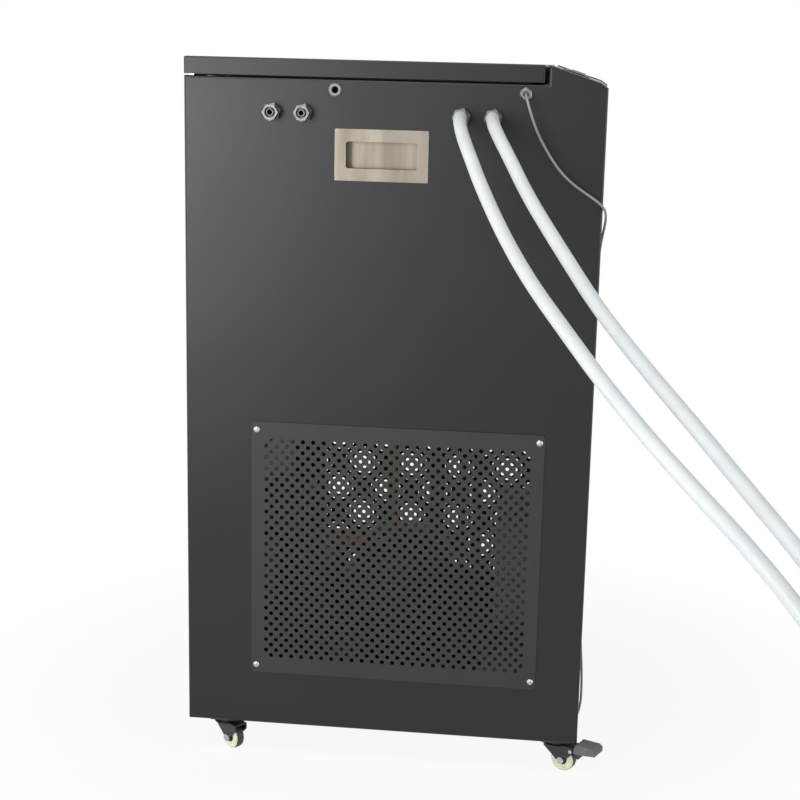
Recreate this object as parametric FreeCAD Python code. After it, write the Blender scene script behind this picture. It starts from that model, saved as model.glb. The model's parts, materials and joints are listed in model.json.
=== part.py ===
"""Glycol chiller on castors: a sheet-metal cabinet with a lidded bath above a refrigeration bay.

Lengths are in millimetres and angles in degrees. While it is built, the cabinet stands with its rear
edge at x = 0 and its front at +x, its width is centred on y = 0, the side with the hose ports faces -y,
and the floor is z = 0. "Out" is the distance in front of the port side's face. At the end everything is
moved so that the origin is on the floor, under the middle of the machine.
"""

import FreeCAD
import Part

import math
import os

from FreeCAD import Placement, Rotation, Vector

# Cabinet
CABINET_WIDTH = 400.0
FLOOR_TO_BODY = 43.0
BODY_HEIGHT = 817.5
SHEET = 1.2
BEND_RADIUS = 3.5
FLANGE = 20.0
EASE = 0.3

# Lid and the sloped control panel in front of it
LID_LENGTH = 428.5
LID_RIM = 20.5
LID_GAP = 2.0
LID_END_GAP = 4.0
LID_FOAM_INSET = 12.0
SLOPE = 17.5
SLOPE_RUN = 60.5
BEVEL_RUN = 9.0
BEVEL_DROP = 6.0
FRONT_LIP = 26.0
FRONT_RECESS = 5.0

# Lid hinges
HINGE_PIN = 2.0
HINGE_KNUCKLE = 6.0
HINGE_LEAF = 1.6
HINGE_LENGTH = 60.0
HINGE_DROP = 22.0
HINGE_SPREAD = 240.0
HINGE_BACKSET = 3.2
SHAFT_FIT = 0.05

# Ports on the side: two pairs of hose fittings, and two holes for probe cables
PORT_HEIGHT = 820.5
PORT_PITCH = 37.5
REAR_PAIR = 107.5
FRONT_PAIR = 332.5
SHANK = 14.0
LOCKNUT_FLATS = 19.0
LOCKNUT_HEIGHT = 6.0
HEX_FLATS = 17.0
HEX_BACK = 8.0
HEX_HEIGHT = 8.0
SOCKET_DIAMETER = 12.8
SOCKET_DEPTH = 6.0
SPIGOT_DIAMETER = 9.4
SPIGOT_PROUD = 1.0
ELBOW_DIAMETER = 8.4
PORT_BORE = 6.4
INNER_NUT = 4.0
ELBOW_DEPTH = 15.0
ELBOW_DROP = 18.0
GROMMET_PLACE = (182.5, 848.0)
GROMMET_DIAMETER = 15.0
GROMMET_BORE = 8.0
GROMMET_NECK = 11.0
GLAND_SETBACK = 21.5
GLAND_HEIGHT = 849.0
GLAND_FLATS = 14.0
GLAND_NECK = 9.6
COLLAR_HEIGHT = 5.0

# Flush-pull handles
HANDLE_CENTRE = (238.8, 772.7)
HANDLE_PLATE = (112.0, 61.0)
HANDLE_MOUTH = (85.0, 31.5)
HANDLE_DEPTH = 15.0
HANDLE_WALL = 1.0

# Perforated grilles. Each hole here stands for four of the round ones, at twice their pitch.
GRILLE_CENTRE = (264.5, 278.5)
GRILLE_PLATE = (363.0, 329.0)
GRILLE_OPENING = (339.0, 301.0)
GRILLE_THICKNESS = 1.5
GRILLE_CORNER = 4.0
GRILLE_SCREWS = (350.0, 309.0)
PERFORATION_PITCH = 26.0
PERFORATION_ROW = 14.1
PERFORATION_COLUMNS = 13
PERFORATION_ROWS = 21
PERFORATION_SIDE = 9.4
SCREW_DIAMETER = 4.0
SCREW_HEAD = 7.8
SCREW_HEAD_HEIGHT = 2.4
SCREW_LENGTH = 8.0

# Bath
TANK_REAR_MARGIN = 42.0
TANK_FRONT_MARGIN = 36.5
TANK_SIDE_MARGIN = 50.0
TANK_DEPTH = 364.0
TANK_WALL = 1.0
TANK_CORNER = 22.0
TANK_RIM = 14.0
FOAM = 25.0
STUB_DIAMETER = 9.0
STUB_LENGTH = 34.0
STUB_BORE = 7.0
EVAPORATOR_TUBE = 10.0
EVAPORATOR_END_GAP = 50.0
EVAPORATOR_PITCH = 44.0
EVAPORATOR_BEND = 21.5
EVAPORATOR_RUNS = 5
EVAPORATOR_WALL_GAP = 25.0
EVAPORATOR_TAIL = 40.0
EVAPORATOR_TOP_GAP = 60.0

# Condenser, fan and shroud, in line from the rear
CONDENSER_BACK = 34.0
CONDENSER_THICKNESS = 36.0
CONDENSER_WIDTH = 290.0
CONDENSER_HEIGHT = 330.0
CONDENSER_FRAME = 12.0
CONDENSER_TUBES = 10
CONDENSER_TUBE_HEIGHT = 4.0
CONDENSER_FINS = 11
CONDENSER_FIN = 1.6
FAN_DIAMETER = 210.0
FAN_TIP_GAP = 5.0
FAN_HUB = 56.0
FAN_BLADES = 5
FAN_WIDTH = 24.0
BLADE_CHORD = 62.0
BLADE_PITCH = 24.0
BLADE_THICKNESS = 1.8
SHROUD_RING = 26.0
MOTOR_DIAMETER = 76.0
MOTOR_LENGTH = 46.0
MOTOR_SHAFT = 8.0
MOTOR_ARM = 10.0

# Compressor
COMPRESSOR_PLACE = (248.0, 62.0)
COMPRESSOR_DIAMETER = 138.0
COMPRESSOR_HEIGHT = 176.0
COMPRESSOR_DOME = 34.0
COMPRESSOR_SEAM = 3.0
COMPRESSOR_FOOT = 3.0
COMPRESSOR_FEET = (164.0, 104.0)
COMPRESSOR_PLATE_EDGE = 13.0
FOOT_HOLE = 10.0
TERMINAL_COVER = (14.0, 52.0, 50.0)
TERMINAL_RISE = 62.0
MOUNT_DIAMETER = 24.0
MOUNT_HEIGHT = 14.0
SUCTION_HEADING = -60.0
SUCTION_HEIGHT = 128.0
DISCHARGE_HEADING = 110.0
DISCHARGE_HEIGHT = 52.0
STUB_REACH = 80.0
RISER_REACH = 104.5
REFRIGERANT_TUBE = 8.0
REFRIGERANT_BEND = 16.0
SUCTION_SLEEVE = 18.0
SUCTION_BEND = 24.0
DRIER_DIAMETER = 26.0
DRIER_LENGTH = 70.0
DRIER_NECK = 14.0
DRIER_PLACE = (178.0, -42.0, 248.0)

# Circulation pumps and the hoses inside
PUMP_PLACES = (110.0, 316.0)
PUMP_SIDE = -96.0
PUMP_MOTOR = 58.0
PUMP_MOTOR_LENGTH = 50.0
PUMP_HEAD = 66.0
PUMP_HEAD_LENGTH = 40.0
PUMP_FOOT = (70.0, 64.0, 4.0)
PUMP_OUTLET = 24.0
PUMP_INLET = 44.0
PUMP_STUB_HEIGHT = 16.0
RETURN_STUBS = (175.0, 378.0)
RETURN_SIDE = -120.0
INNER_HOSE = 12.0
INNER_BEND = 28.0
SUPPLY_DROP = 70.0

# Electrical parts
BOX_SIZE = (60.0, 190.0, 150.0)
BOX_CENTRE = (20.0, 360.0)
BOX_CORNER = 6.0
BOX_LID = 8.0
BOX_LOWER_DEPTH = 112.0
BOX_LOWER_HEIGHT = 140.0
INLET_CENTRE = (150.0, 112.0)
INLET_PLATE = (52.0, 66.0)
INLET_DEPTH = 26.0
INLET_SOCKET = (24.0, 16.0)
INLET_SOCKET_DEPTH = 16.0
INLET_FLANGE = 3.0
INLET_SOCKET_DROP = 13.0
INLET_PIN = (2.0, 5.0, 11.0)
ROCKER_RISE = 17.0
ROCKER_RADIUS = 10.8
ROCKER_WIDTH = 12.0
ROCKER_DEPTH = 5.0
ROCKER_VALLEY = 6.2
ROCKER_TILT = 7.0
ROCKER_PIN = 3.0
CONTROLLER_PLATE = (35.0, 77.0)
CONTROLLER_BODY = (28.0, 70.0)
CONTROLLER_DEPTH = 32.0
CONTROLLER_LIFT = 1.8
CONTROLLER_PITCH = 150.0
WINDOW = (20.0, 42.0)
WINDOW_OFFSET = -10.0
WINDOW_DEPTH = 0.8
KEY_SIZE = (18.0, 8.0)
KEY_OFFSETS = (19.0, 30.0)
KEY_PROUD = 1.0
KEY_HEIGHT = 2.4
KEY_TRAVEL = 0.8

# Rear vents
VENT_COUNT = 12
VENT_LENGTH = 220.0
VENT_HEIGHT = 8.0
VENT_PITCH = 22.0

# Castors: swivel axis inset from the body's edges, and the wheel's heading at rest
PLATE_SIZE = 38.0
PLATE_THICKNESS = 2.0
WHEEL_DIAMETER = 32.0
WHEEL_WIDTH = 14.0
WHEEL_HUB = 15.0
AXLE_DIAMETER = 5.0
TRAIL = 12.0
FORK_SHEET = 1.6
FORK_SIDE_GAP = 1.0
FORK_REACH = 28.0
FORK_BACK = 13.0
FORK_TABLE = 34.0
FORK_BOSS = 10.5
RACE_DROP = 5.0
RIVET_HEAD = 1.8
SWIVEL_PIN = 6.0
RACE_DIAMETER = 28.0
CASTOR_INSET = 24.0
REAR_PIVOT = 46.0
FRONT_PIVOT_INSET = 26.5
PEDAL_PIVOT = (25.0, 30.6)
PEDAL_PIN = 3.0
PEDAL_HUB = 6.0
PEDAL_START = 31.0
PEDAL_END = 60.0
PEDAL_WIDTH = 24.0
PEDAL_LOW = 31.0
PEDAL_TOP = 42.0
BRAKE_SHOE = (5.0, 22.0)

# Cords: the two hoses and the temperature probe's cable, as points of x, out and z
HOSE_DIAMETER = 15.0
PROBE_CABLE = 3.0
PROBE_DIAMETER = 6.0
PROBE_LENGTH = 50.0
ARC_SHARE = 0.45
REAR_HOSE_ROUTE = (
    (332.5, 16, 820.5),
    (334, 48, 817),
    (341.5, 82, 801.5),
    (354, 114, 779.5),
    (368, 148, 753.8),
    (397, 213, 709.5),
    (430, 282, 669.5),
    (466, 355, 636.5),
    (504, 425, 601),
    (546, 490, 565),
    (588, 545, 532),
    (630, 585, 498),
    (676, 618, 452),
    (720, 650, 392),
    (756, 682, 318),
    (780, 712, 238),
    (792, 740, 160),
    (792, 768, 98),
    (778, 792, 50),
    (748, 810, 20),
    (704, 820, 8.5),
    (650, 822, 7.5),
)
FRONT_HOSE_ROUTE = (
    (370, 16, 820.5),
    (372, 48, 817),
    (382, 82, 802),
    (398, 114, 779),
    (421, 157, 742.5),
    (464, 232, 689.5),
    (503, 312, 645),
    (549, 392, 603.5),
    (592, 468, 568),
    (636, 540, 529),
    (678, 590, 490),
    (721, 626, 441),
    (764, 658, 380),
    (800, 690, 306),
    (824, 722, 228),
    (836, 754, 150),
    (834, 790, 88),
    (818, 822, 44),
    (788, 846, 18),
    (744, 858, 8.5),
    (690, 860, 7.5),
    (636, 852, 7.5),
)
PROBE_ROUTE = (
    (407, 2, 849),
    (407.5, 15, 848.2),
    (410.5, 25, 840),
    (415, 27, 826),
    (422, 20, 807),
    (431, 13, 790),
    (441, 9, 774),
    (452, 8, 760),
    (465, 8, 748),
    (480, 7.6, 738),
    (494, 7, 729),
    (504.5, 1.5, 719.5),
    (506.5, -10, 706),
    (503.8, -24, 689),
    (500.4, -36, 664),
    (498.8, -48, 628),
    (498.2, -58, 585),
    (498.8, -66, 537),
    (498.2, -73, 488),
    (498.8, -79, 438),
    (498.2, -85, 388),
    (498.8, -91, 338),
    (498.2, -96, 288),
    (498.8, -101, 238),
    (498.4, -106, 190),
    (500.4, -111, 146),
    (503.8, -114, 108),
    (505.4, -117, 74),
    (505, -120, 44),
    (498, -124, 20),
    (478, -130, 5),
    (445, -139, 2),
    (403, -150, 1.6),
    (361, -166, 2),
    (325, -190, 2.6),
    (287, -204, 3),
)

# Sizes that follow
HALF_WIDTH = CABINET_WIDTH / 2
TUCKED_HALF = HALF_WIDTH - BEND_RADIUS - EASE
BODY_TOP = FLOOR_TO_BODY + BODY_HEIGHT
LID_BOTTOM = BODY_TOP + LID_GAP
TOTAL_HEIGHT = LID_BOTTOM + LID_RIM
STEP = LID_LENGTH + LID_END_GAP
CABINET_DEPTH = STEP + SLOPE_RUN + BEVEL_RUN
SLOPE_FOOT = TOTAL_HEIGHT - SLOPE_RUN * math.tan(math.radians(SLOPE))
FRONT_TOP = SLOPE_FOOT - BEVEL_DROP
INNER_HALF = HALF_WIDTH - SHEET
PAN_TOP = FLOOR_TO_BODY + 2 * SHEET
DECK_TOP = BODY_TOP - SHEET
REAR_PANEL_BACK = SHEET
FRONT_PANEL_FACE = CABINET_DEPTH - SHEET - FRONT_RECESS
GLAND_PLACE = (LID_LENGTH - GLAND_SETBACK, GLAND_HEIGHT)
PORT_PLACES = (REAR_PAIR, REAR_PAIR + PORT_PITCH, FRONT_PAIR, FRONT_PAIR + PORT_PITCH)
HINGE_HEIGHT = BODY_TOP + LID_GAP / 2
TANK_LENGTH = LID_LENGTH - TANK_REAR_MARGIN - TANK_FRONT_MARGIN
TANK_WIDTH = CABINET_WIDTH - 2 * TANK_SIDE_MARGIN
TANK_MIDDLE = TANK_REAR_MARGIN + TANK_LENGTH / 2
TANK_BOTTOM = BODY_TOP - TANK_DEPTH
EVAPORATOR_RUN = TANK_LENGTH - 2 * EVAPORATOR_END_GAP
FOAM_BOTTOM = TANK_BOTTOM - FOAM
FAN_HEIGHT = PAN_TOP + CONDENSER_HEIGHT / 2
SHROUD_BACK = CONDENSER_BACK + CONDENSER_THICKNESS
FAN_BACK = SHROUD_BACK + SHEET + 4.0
MOTOR_BACK = FAN_BACK + FAN_WIDTH + 4.0
FORK_TOP = FLOOR_TO_BODY - PLATE_THICKNESS - RACE_DROP
FRONT_PIVOT = CABINET_DEPTH - FRONT_PIVOT_INSET
AXLE_HEIGHT = WHEEL_DIAMETER / 2
CASTOR_SIDE = HALF_WIDTH - CASTOR_INSET
SIDE_GAP = (INNER_HALF + TANK_WIDTH / 2 + FOAM) / 2
CASTORS = (
    ("rear_port", REAR_PIVOT, -1, -40.0, False),
    ("front_port", FRONT_PIVOT, -1, -25.0, True),
    ("rear_plain", REAR_PIVOT, 1, 150.0, False),
    ("front_plain", FRONT_PIVOT, 1, 205.0, True),
)

UP = Vector(0, 0, 1)
ALONG = Vector(1, 0, 0)
ACROSS = Vector(0, 1, 0)


def block(x0, x1, y0, y1, z0, z1):
    """A box between two values on each axis."""
    return Part.makeBox(x1 - x0, y1 - y0, z1 - z0, Vector(x0, y0, z0))


def centred(size_x, size_y, z0, z1, x=0.0, y=0.0):
    """An upright box centred on x and y."""
    return block(x - size_x / 2, x + size_x / 2, y - size_y / 2, y + size_y / 2, z0, z1)


def rod(diameter, start, end):
    """A cylinder between two points."""
    run = end - start
    return Part.makeCylinder(diameter / 2, run.Length, start, run)


def prism(points, y0, y1):
    """An outline in x and z, extruded along y."""
    corners = [Vector(x, y0, z) for x, z in points]
    return Part.Face(Part.makePolygon(corners + corners[:1])).extrude(Vector(0, y1 - y0, 0))


def rounded_plate(size_x, size_y, corner, z0, z1):
    """An upright plate with rounded corners, centred on the z axis."""
    plate = centred(size_x, size_y, z0, z1)
    upright = [e for e in plate.Edges if abs(e.tangentAt(e.FirstParameter).z) > 0.9]
    return plate.makeFillet(corner, upright)


def turned(profile, steps=360.0):
    """A closed outline of radius and height, turned about the z axis."""
    corners = [Vector(r, 0, z) for r, z in profile]
    return Part.Face(Part.makePolygon(corners + corners[:1])).revolve(Vector(), UP, steps)


def hexagon(flats, z0, z1):
    """A hexagonal prism on the z axis."""
    reach = flats / math.sqrt(3)
    corners = [
        Vector(reach * math.cos(math.radians(a)), reach * math.sin(math.radians(a)), z0)
        for a in range(0, 420, 60)
    ]
    return Part.Face(Part.makePolygon(corners)).extrude(Vector(0, 0, z1 - z0))


def placed(shape, position, axis=UP, angle=0.0):
    """A copy of a shape, turned about an axis through the origin and then moved."""
    copy = shape.copy()
    copy.Placement = Placement(position, Rotation(axis, angle)).multiply(copy.Placement)
    return copy


def outward(shape, x, z):
    """Stands a shape that was built along z on the port side's face, pointing out of it."""
    return placed(shape, Vector(x, -HALF_WIDTH, z), ALONG, 90)


def opposite(shape):
    """The same piece on the plain side, turned by half a turn in plan and moved back in line."""
    return shape.mirror(Vector(), ACROSS)


def fused(first, *others):
    """One solid out of several that meet."""
    return first.fuse(list(others)).removeSplitter()


def rounded_path(points, bend=None):
    """Straight runs joined by tangent arcs: each as large as its runs allow, unless a bend is given."""
    start = points[0]
    edges = []
    radii = []
    for before, corner, after in zip(points, points[1:], points[2:]):
        into = corner - before
        away = after - corner
        half = into.getAngle(away) / 2
        radius = bend or ARC_SHARE * min(into.Length, away.Length) / math.tan(half)
        reach = radius * math.tan(half)
        into.normalize()
        away.normalize()
        inside = away - into
        inside.normalize()
        arc_start = corner - into * reach
        arc_end = corner + away * reach
        middle = corner + inside * (radius / math.cos(half) - radius)
        edges.append(Part.LineSegment(start, arc_start).toShape())
        edges.append(Part.Arc(arc_start, middle, arc_end).toShape())
        radii.append(radius)
        start = arc_end
    edges.append(Part.LineSegment(start, points[-1]).toShape())
    return Part.Wire(edges), radii


def tube(points, diameter, bend=None):
    """A round bar along a rounded path."""
    path, radii = rounded_path(points, bend)
    section = Part.Wire(Part.makeCircle(diameter / 2, points[0], points[1] - points[0]))
    solid = path.makePipeShell([section], True, False)
    return solid, path.Length, radii


def side_outline():
    """The cabinet side's outline: flat under the lid, a step up, the slope, a bevel and the front."""
    return [
        (0, FLOOR_TO_BODY),
        (CABINET_DEPTH, FLOOR_TO_BODY),
        (CABINET_DEPTH, FRONT_TOP),
        (CABINET_DEPTH - BEVEL_RUN, SLOPE_FOOT),
        (STEP, TOTAL_HEIGHT),
        (STEP, BODY_TOP),
        (0, BODY_TOP),
    ]


def inset_outline(inset):
    """The side's outline, drawn in by an inset, as a face at y = 0."""
    corners = [Vector(x, 0, z) for x, z in side_outline()]
    wire = Part.makePolygon(corners + corners[:1])
    if not inset:
        return Part.Face(wire)
    return Part.Face(wire.makeOffset2D(-inset, 2, False, False, False))


def side_panel():
    """One sheet folded in round its whole outline, with the openings that both sides share."""
    outer = inset_outline(0).extrude(Vector(0, FLANGE, 0))
    inner = inset_outline(SHEET).extrude(Vector(0, FLANGE, 0))
    inner.translate(Vector(0, SHEET, 0))
    trays = []
    for tray, face, radius in ((outer, 0, BEND_RADIUS), (inner, SHEET, BEND_RADIUS - SHEET)):
        rim = [e for e in tray.Edges if all(abs(v.Y - face) < EASE / 100 for v in e.Vertexes)]
        trays.append(tray.makeFillet(radius, rim))
    panel = trays[0].cut(trays[1])
    panel.translate(Vector(0, -HALF_WIDTH, 0))
    through = 2 * SHEET
    grille = rounded_plate(*GRILLE_OPENING, GRILLE_CORNER, -through, through)
    cup = [size + 2 * (HANDLE_WALL + EASE) for size in HANDLE_MOUTH]
    cuts = [
        outward(grille, *GRILLE_CENTRE),
        outward(rounded_plate(*cup, GRILLE_CORNER, -through, through), *HANDLE_CENTRE),
    ]
    clearance = SCREW_DIAMETER + EASE
    for x, z in screw_places():
        cuts.append(outward(rod(clearance, UP * -through, UP * through), x, z))
    return panel.cut(cuts)


def port_side_panel():
    """The port side has more holes: one for each fitting and each probe cable."""
    cuts = []
    holes = [(x, PORT_HEIGHT, SHANK + EASE) for x in PORT_PLACES]
    holes.append((*GROMMET_PLACE, GROMMET_NECK + EASE))
    holes.append((*GLAND_PLACE, GLAND_NECK + EASE))
    for x, z, diameter in holes:
        cuts.append(outward(rod(diameter, UP * -FLANGE / 2, UP * FLANGE / 2), x, z))
    return side_panel().cut(cuts)


def base_pan():
    """A shallow tray across the bottom, standing on the side panels' lower flanges."""
    x0 = REAR_PANEL_BACK + SHEET
    x1 = FRONT_PANEL_FACE - SHEET
    bottom = FLOOR_TO_BODY + SHEET
    outer = block(x0, x1, -TUCKED_HALF, TUCKED_HALF, bottom, bottom + FLANGE)
    inner = block(
        x0 + SHEET, x1 - SHEET, SHEET - TUCKED_HALF, TUCKED_HALF - SHEET, PAN_TOP, bottom + 2 * FLANGE
    )
    return outer.cut(inner)


def rear_panel():
    """A flat sheet behind the sides' rear flanges, with a bank of vents and the inlet's opening."""
    x0 = REAR_PANEL_BACK
    x1 = x0 + SHEET
    panel = block(x0, x1, -TUCKED_HALF, TUCKED_HALF, FLOOR_TO_BODY + SHEET, DECK_TOP - SHEET)
    cuts = []
    for index in range(VENT_COUNT):
        middle = FAN_HEIGHT + (index - (VENT_COUNT - 1) / 2) * VENT_PITCH
        low = middle - VENT_HEIGHT / 2
        cuts.append(block(x0 - 1, x1 + 1, -VENT_LENGTH / 2, VENT_LENGTH / 2, low, low + VENT_HEIGHT))
    y, z = INLET_CENTRE
    width, height = [size - 6 for size in INLET_PLATE]
    cuts.append(block(x0 - 1, x1 + 1, y - width / 2, y + width / 2, z - height / 2, z + height / 2))
    return panel.cut(cuts)


def front_panel():
    """A tray whose rim meets the sides' front flanges, so that its face lies a little back from them."""
    x1 = CABINET_DEPTH - SHEET
    half = TUCKED_HALF
    top = FRONT_TOP - FRONT_LIP
    bottom = FLOOR_TO_BODY + SHEET
    outer = block(FRONT_PANEL_FACE - SHEET, x1, -half, half, bottom, top)
    inner = block(FRONT_PANEL_FACE, x1 + 1, SHEET - half, half - SHEET, bottom + SHEET, top - SHEET)
    return outer.cut(inner)


def on_slope(shape, y=0.0):
    """Moves a shape built on the z = 0 plane onto the middle of the slope, x running down it."""
    middle = Vector(STEP + SLOPE_RUN / 2, y, (TOTAL_HEIGHT + SLOPE_FOOT) / 2)
    return placed(shape, middle, ACROSS, SLOPE)


def controller_sides():
    """Where the two controllers stand across the slope."""
    return (-CONTROLLER_PITCH / 2, CONTROLLER_PITCH / 2)


def control_panel():
    """One strip folded under the slope, from the front's lip over the bevel to the lid's step."""
    band = inset_outline(SHEET).cut(inset_outline(2 * SHEET))
    strip = band.extrude(Vector(0, 2 * TUCKED_HALF, 0))
    strip.translate(Vector(0, -TUCKED_HALF, 0))
    top = TOTAL_HEIGHT + 1
    front = block(STEP + SHEET, CABINET_DEPTH, -HALF_WIDTH, HALF_WIDTH, FRONT_TOP - FRONT_LIP, top)
    strip = strip.common(front)
    cuts = []
    for y in controller_sides():
        size = [length + 2 * EASE for length in CONTROLLER_BODY]
        cuts.append(on_slope(centred(*size, -4 * SHEET, SHEET), y))
    return strip.cut(cuts)


def top_deck():
    """The sheet round the bath's mouth, under the sides' upper flanges."""
    deck = block(
        REAR_PANEL_BACK, STEP + SHEET, -TUCKED_HALF, TUCKED_HALF, DECK_TOP - SHEET, DECK_TOP
    )
    mouth = rounded_plate(
        TANK_LENGTH + 2 * EASE, TANK_WIDTH + 2 * EASE, TANK_CORNER, DECK_TOP - 2 * SHEET, DECK_TOP + 1
    )
    return deck.cut(placed(mouth, Vector(TANK_MIDDLE, 0, 0)))


def lid_shell():
    """A sheet cover with its rim turned down all round."""
    outer = block(0, LID_LENGTH, -HALF_WIDTH, HALF_WIDTH, LID_BOTTOM, TOTAL_HEIGHT)
    inner = block(
        SHEET, LID_LENGTH - SHEET, -INNER_HALF, INNER_HALF, LID_BOTTOM - 1, TOTAL_HEIGHT - SHEET
    )
    shells = []
    for solid, top, radius in ((outer, TOTAL_HEIGHT, 2.4), (inner, TOTAL_HEIGHT - SHEET, 1.2)):
        edges = [e for e in solid.Edges if max(v.Z for v in e.Vertexes) > top - EASE]
        shells.append(solid.makeFillet(radius, edges))
    return shells[0].cut(shells[1])


def lid_insulation():
    """A foam slab that fills the lid and closes on the bath's rim."""
    length = LID_LENGTH - 2 * LID_FOAM_INSET
    slab = rounded_plate(
        length, CABINET_WIDTH - 2 * LID_FOAM_INSET, 6, BODY_TOP + EASE, TOTAL_HEIGHT - SHEET
    )
    return placed(slab, Vector(LID_LENGTH / 2, 0, 0))


def hinge_halves():
    """Both halves of the two lid hinges: each leaf with its own knuckles, and the pin in the fixed one."""
    axis_x = -HINGE_BACKSET
    third = HINGE_LENGTH / 3
    fixed = []
    moving = []
    for side in (-1, 1):
        middle = side * HINGE_SPREAD / 2
        low = middle - HINGE_LENGTH / 2
        knuckles = []
        for index in range(3):
            start = low + index * third + EASE / 2
            start_point = Vector(axis_x, start, HINGE_HEIGHT)
            knuckles.append(rod(HINGE_KNUCKLE, start_point, start_point + ACROSS * (third - EASE)))
        room = []
        for index in range(3):
            start_point = Vector(axis_x, low + index * third - EASE / 2, HINGE_HEIGHT)
            end_point = start_point + ACROSS * (third + EASE)
            room.append(rod(HINGE_KNUCKLE + 2 * EASE, start_point, end_point))
        back = REAR_PANEL_BACK - HINGE_LEAF
        foot = HINGE_HEIGHT - HINGE_KNUCKLE / 2
        leaf = block(back, REAR_PANEL_BACK, low, low + HINGE_LENGTH, foot - HINGE_DROP, foot + HINGE_LEAF)
        shelf = block(axis_x, back + 0.5, low, low + HINGE_LENGTH, foot, foot + HINGE_LEAF)
        pin = rod(
            HINGE_PIN,
            Vector(axis_x, low + EASE / 2, HINGE_HEIGHT),
            Vector(axis_x, low + HINGE_LENGTH - EASE / 2, HINGE_HEIGHT),
        )
        plate = fused(leaf, shelf).cut(room[1])
        fixed.append(fused(plate, knuckles[0], knuckles[2], pin))
        upper = block(
            -HINGE_LEAF, 0, low, low + HINGE_LENGTH, HINGE_HEIGHT, TOTAL_HEIGHT - HINGE_LEAF * 2
        )
        web = block(axis_x, 0, low, low + HINGE_LENGTH, LID_BOTTOM, LID_BOTTOM + HINGE_LEAF)
        web = web.common(knuckles[1])
        upper = upper.cut([room[0], room[2]])
        bore = rod(
            HINGE_PIN + 2 * SHAFT_FIT,
            Vector(axis_x, low - 1, HINGE_HEIGHT),
            Vector(axis_x, low + HINGE_LENGTH + 1, HINGE_HEIGHT),
        )
        moving.append(fused(upper, knuckles[1], web).cut(bore))
    return Part.makeCompound(fixed), Part.makeCompound(moving)


def screw_places():
    """The four screws of a grille."""
    x, z = GRILLE_CENTRE
    dx, dz = [size / 2 for size in GRILLE_SCREWS]
    return [(x - dx, z - dz), (x + dx, z - dz), (x - dx, z + dz), (x + dx, z + dz)]


def grille():
    """A plate with staggered rows of holes and a screw hole near each corner."""
    width, height = GRILLE_PLATE
    faces = rounded_plate(width, height, GRILLE_CORNER, 0, 1).Faces
    wires = [min(faces, key=lambda face: face.CenterOfMass.z).OuterWire]
    reach = PERFORATION_SIDE / math.sqrt(2)
    for row in range(PERFORATION_ROWS):
        odd = row % 2
        columns = PERFORATION_COLUMNS - odd
        y = (row - (PERFORATION_ROWS - 1) / 2) * PERFORATION_ROW
        for column in range(columns):
            x = (column - (columns - 1) / 2) * PERFORATION_PITCH
            corners = [
                Vector(x + reach, y, 0),
                Vector(x, y + reach, 0),
                Vector(x - reach, y, 0),
                Vector(x, y - reach, 0),
            ]
            wires.append(Part.makePolygon(corners + corners[:1]))
    centre_x, centre_z = GRILLE_CENTRE
    for x, z in screw_places():
        hole = Part.makeCircle((SCREW_DIAMETER + EASE) / 2, Vector(x - centre_x, centre_z - z, 0))
        wires.append(Part.Wire(hole))
    sheet = Part.makeFace(wires, "Part::FaceMakerBullseye").extrude(Vector(0, 0, GRILLE_THICKNESS))
    return outward(sheet, centre_x, centre_z)


def panel_screws():
    """The pan-head screws that hold both grilles."""
    head = SCREW_HEAD / 2
    shank = SCREW_DIAMETER / 2
    base = GRILLE_THICKNESS
    profile = [
        (0, base - SCREW_LENGTH),
        (shank, base - SCREW_LENGTH),
        (shank, base),
        (head, base),
        (head, base + SCREW_HEAD_HEIGHT * 0.45),
        (head * 0.72, base + SCREW_HEAD_HEIGHT * 0.88),
        (head * 0.3, base + SCREW_HEAD_HEIGHT),
        (0, base + SCREW_HEAD_HEIGHT),
    ]
    near = [outward(turned(profile), x, z) for x, z in screw_places()]
    return Part.makeCompound(near + [opposite(screw) for screw in near])


def handle():
    """A pressed cup with a flat plate round its mouth."""
    width, height = HANDLE_MOUTH
    wall = HANDLE_WALL
    plate = rounded_plate(*HANDLE_PLATE, 1.5, 0, wall)
    cup = rounded_plate(width + 2 * wall, height + 2 * wall, 3 + wall, -HANDLE_DEPTH - wall, wall)
    hollow = rounded_plate(width, height, 3, -HANDLE_DEPTH, wall + 1)
    return outward(fused(plate, cup).cut(hollow), *HANDLE_CENTRE)


def hose_fitting(x):
    """A bulkhead fitting: spigot in a recessed hexagon, threaded shank, inner nut and elbow."""
    hex_face = HEX_BACK + HEX_HEIGHT
    floor = hex_face - SOCKET_DEPTH
    tip = hex_face + SPIGOT_PROUD
    socket = SOCKET_DIAMETER / 2
    spigot = SPIGOT_DIAMETER / 2
    root = ELBOW_DIAMETER / 2
    profile = [
        (0, -SHEET - ELBOW_DEPTH),
        (root, -SHEET - ELBOW_DEPTH),
        (root, -SHEET - INNER_NUT),
        (SHANK / 2, -SHEET - INNER_NUT),
        (SHANK / 2, floor),
        (0, floor),
    ]
    collar = hexagon(HEX_FLATS, HEX_BACK, hex_face)
    collar = collar.cut(rod(2 * socket, UP * floor, UP * (hex_face + 1)))
    nose = turned([(0, floor), (spigot, floor), (spigot, tip - 1), (spigot - 0.8, tip), (0, tip)])
    elbow_middle = root - SHEET - ELBOW_DEPTH
    low = Vector(0, -ELBOW_DROP, elbow_middle)
    down = rod(ELBOW_DIAMETER, Vector(0, 0, elbow_middle), low)
    inner_nut = hexagon(LOCKNUT_FLATS, -SHEET - INNER_NUT, -SHEET)
    solid = fused(turned(profile), collar, nose, inner_nut, down)
    bore = rod(PORT_BORE, Vector(0, 0, elbow_middle), Vector(0, 0, tip + 1))
    down_bore = rod(PORT_BORE, Vector(0, 0, elbow_middle), low - ACROSS)
    return outward(solid.cut([bore, down_bore]), x, PORT_HEIGHT)


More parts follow.
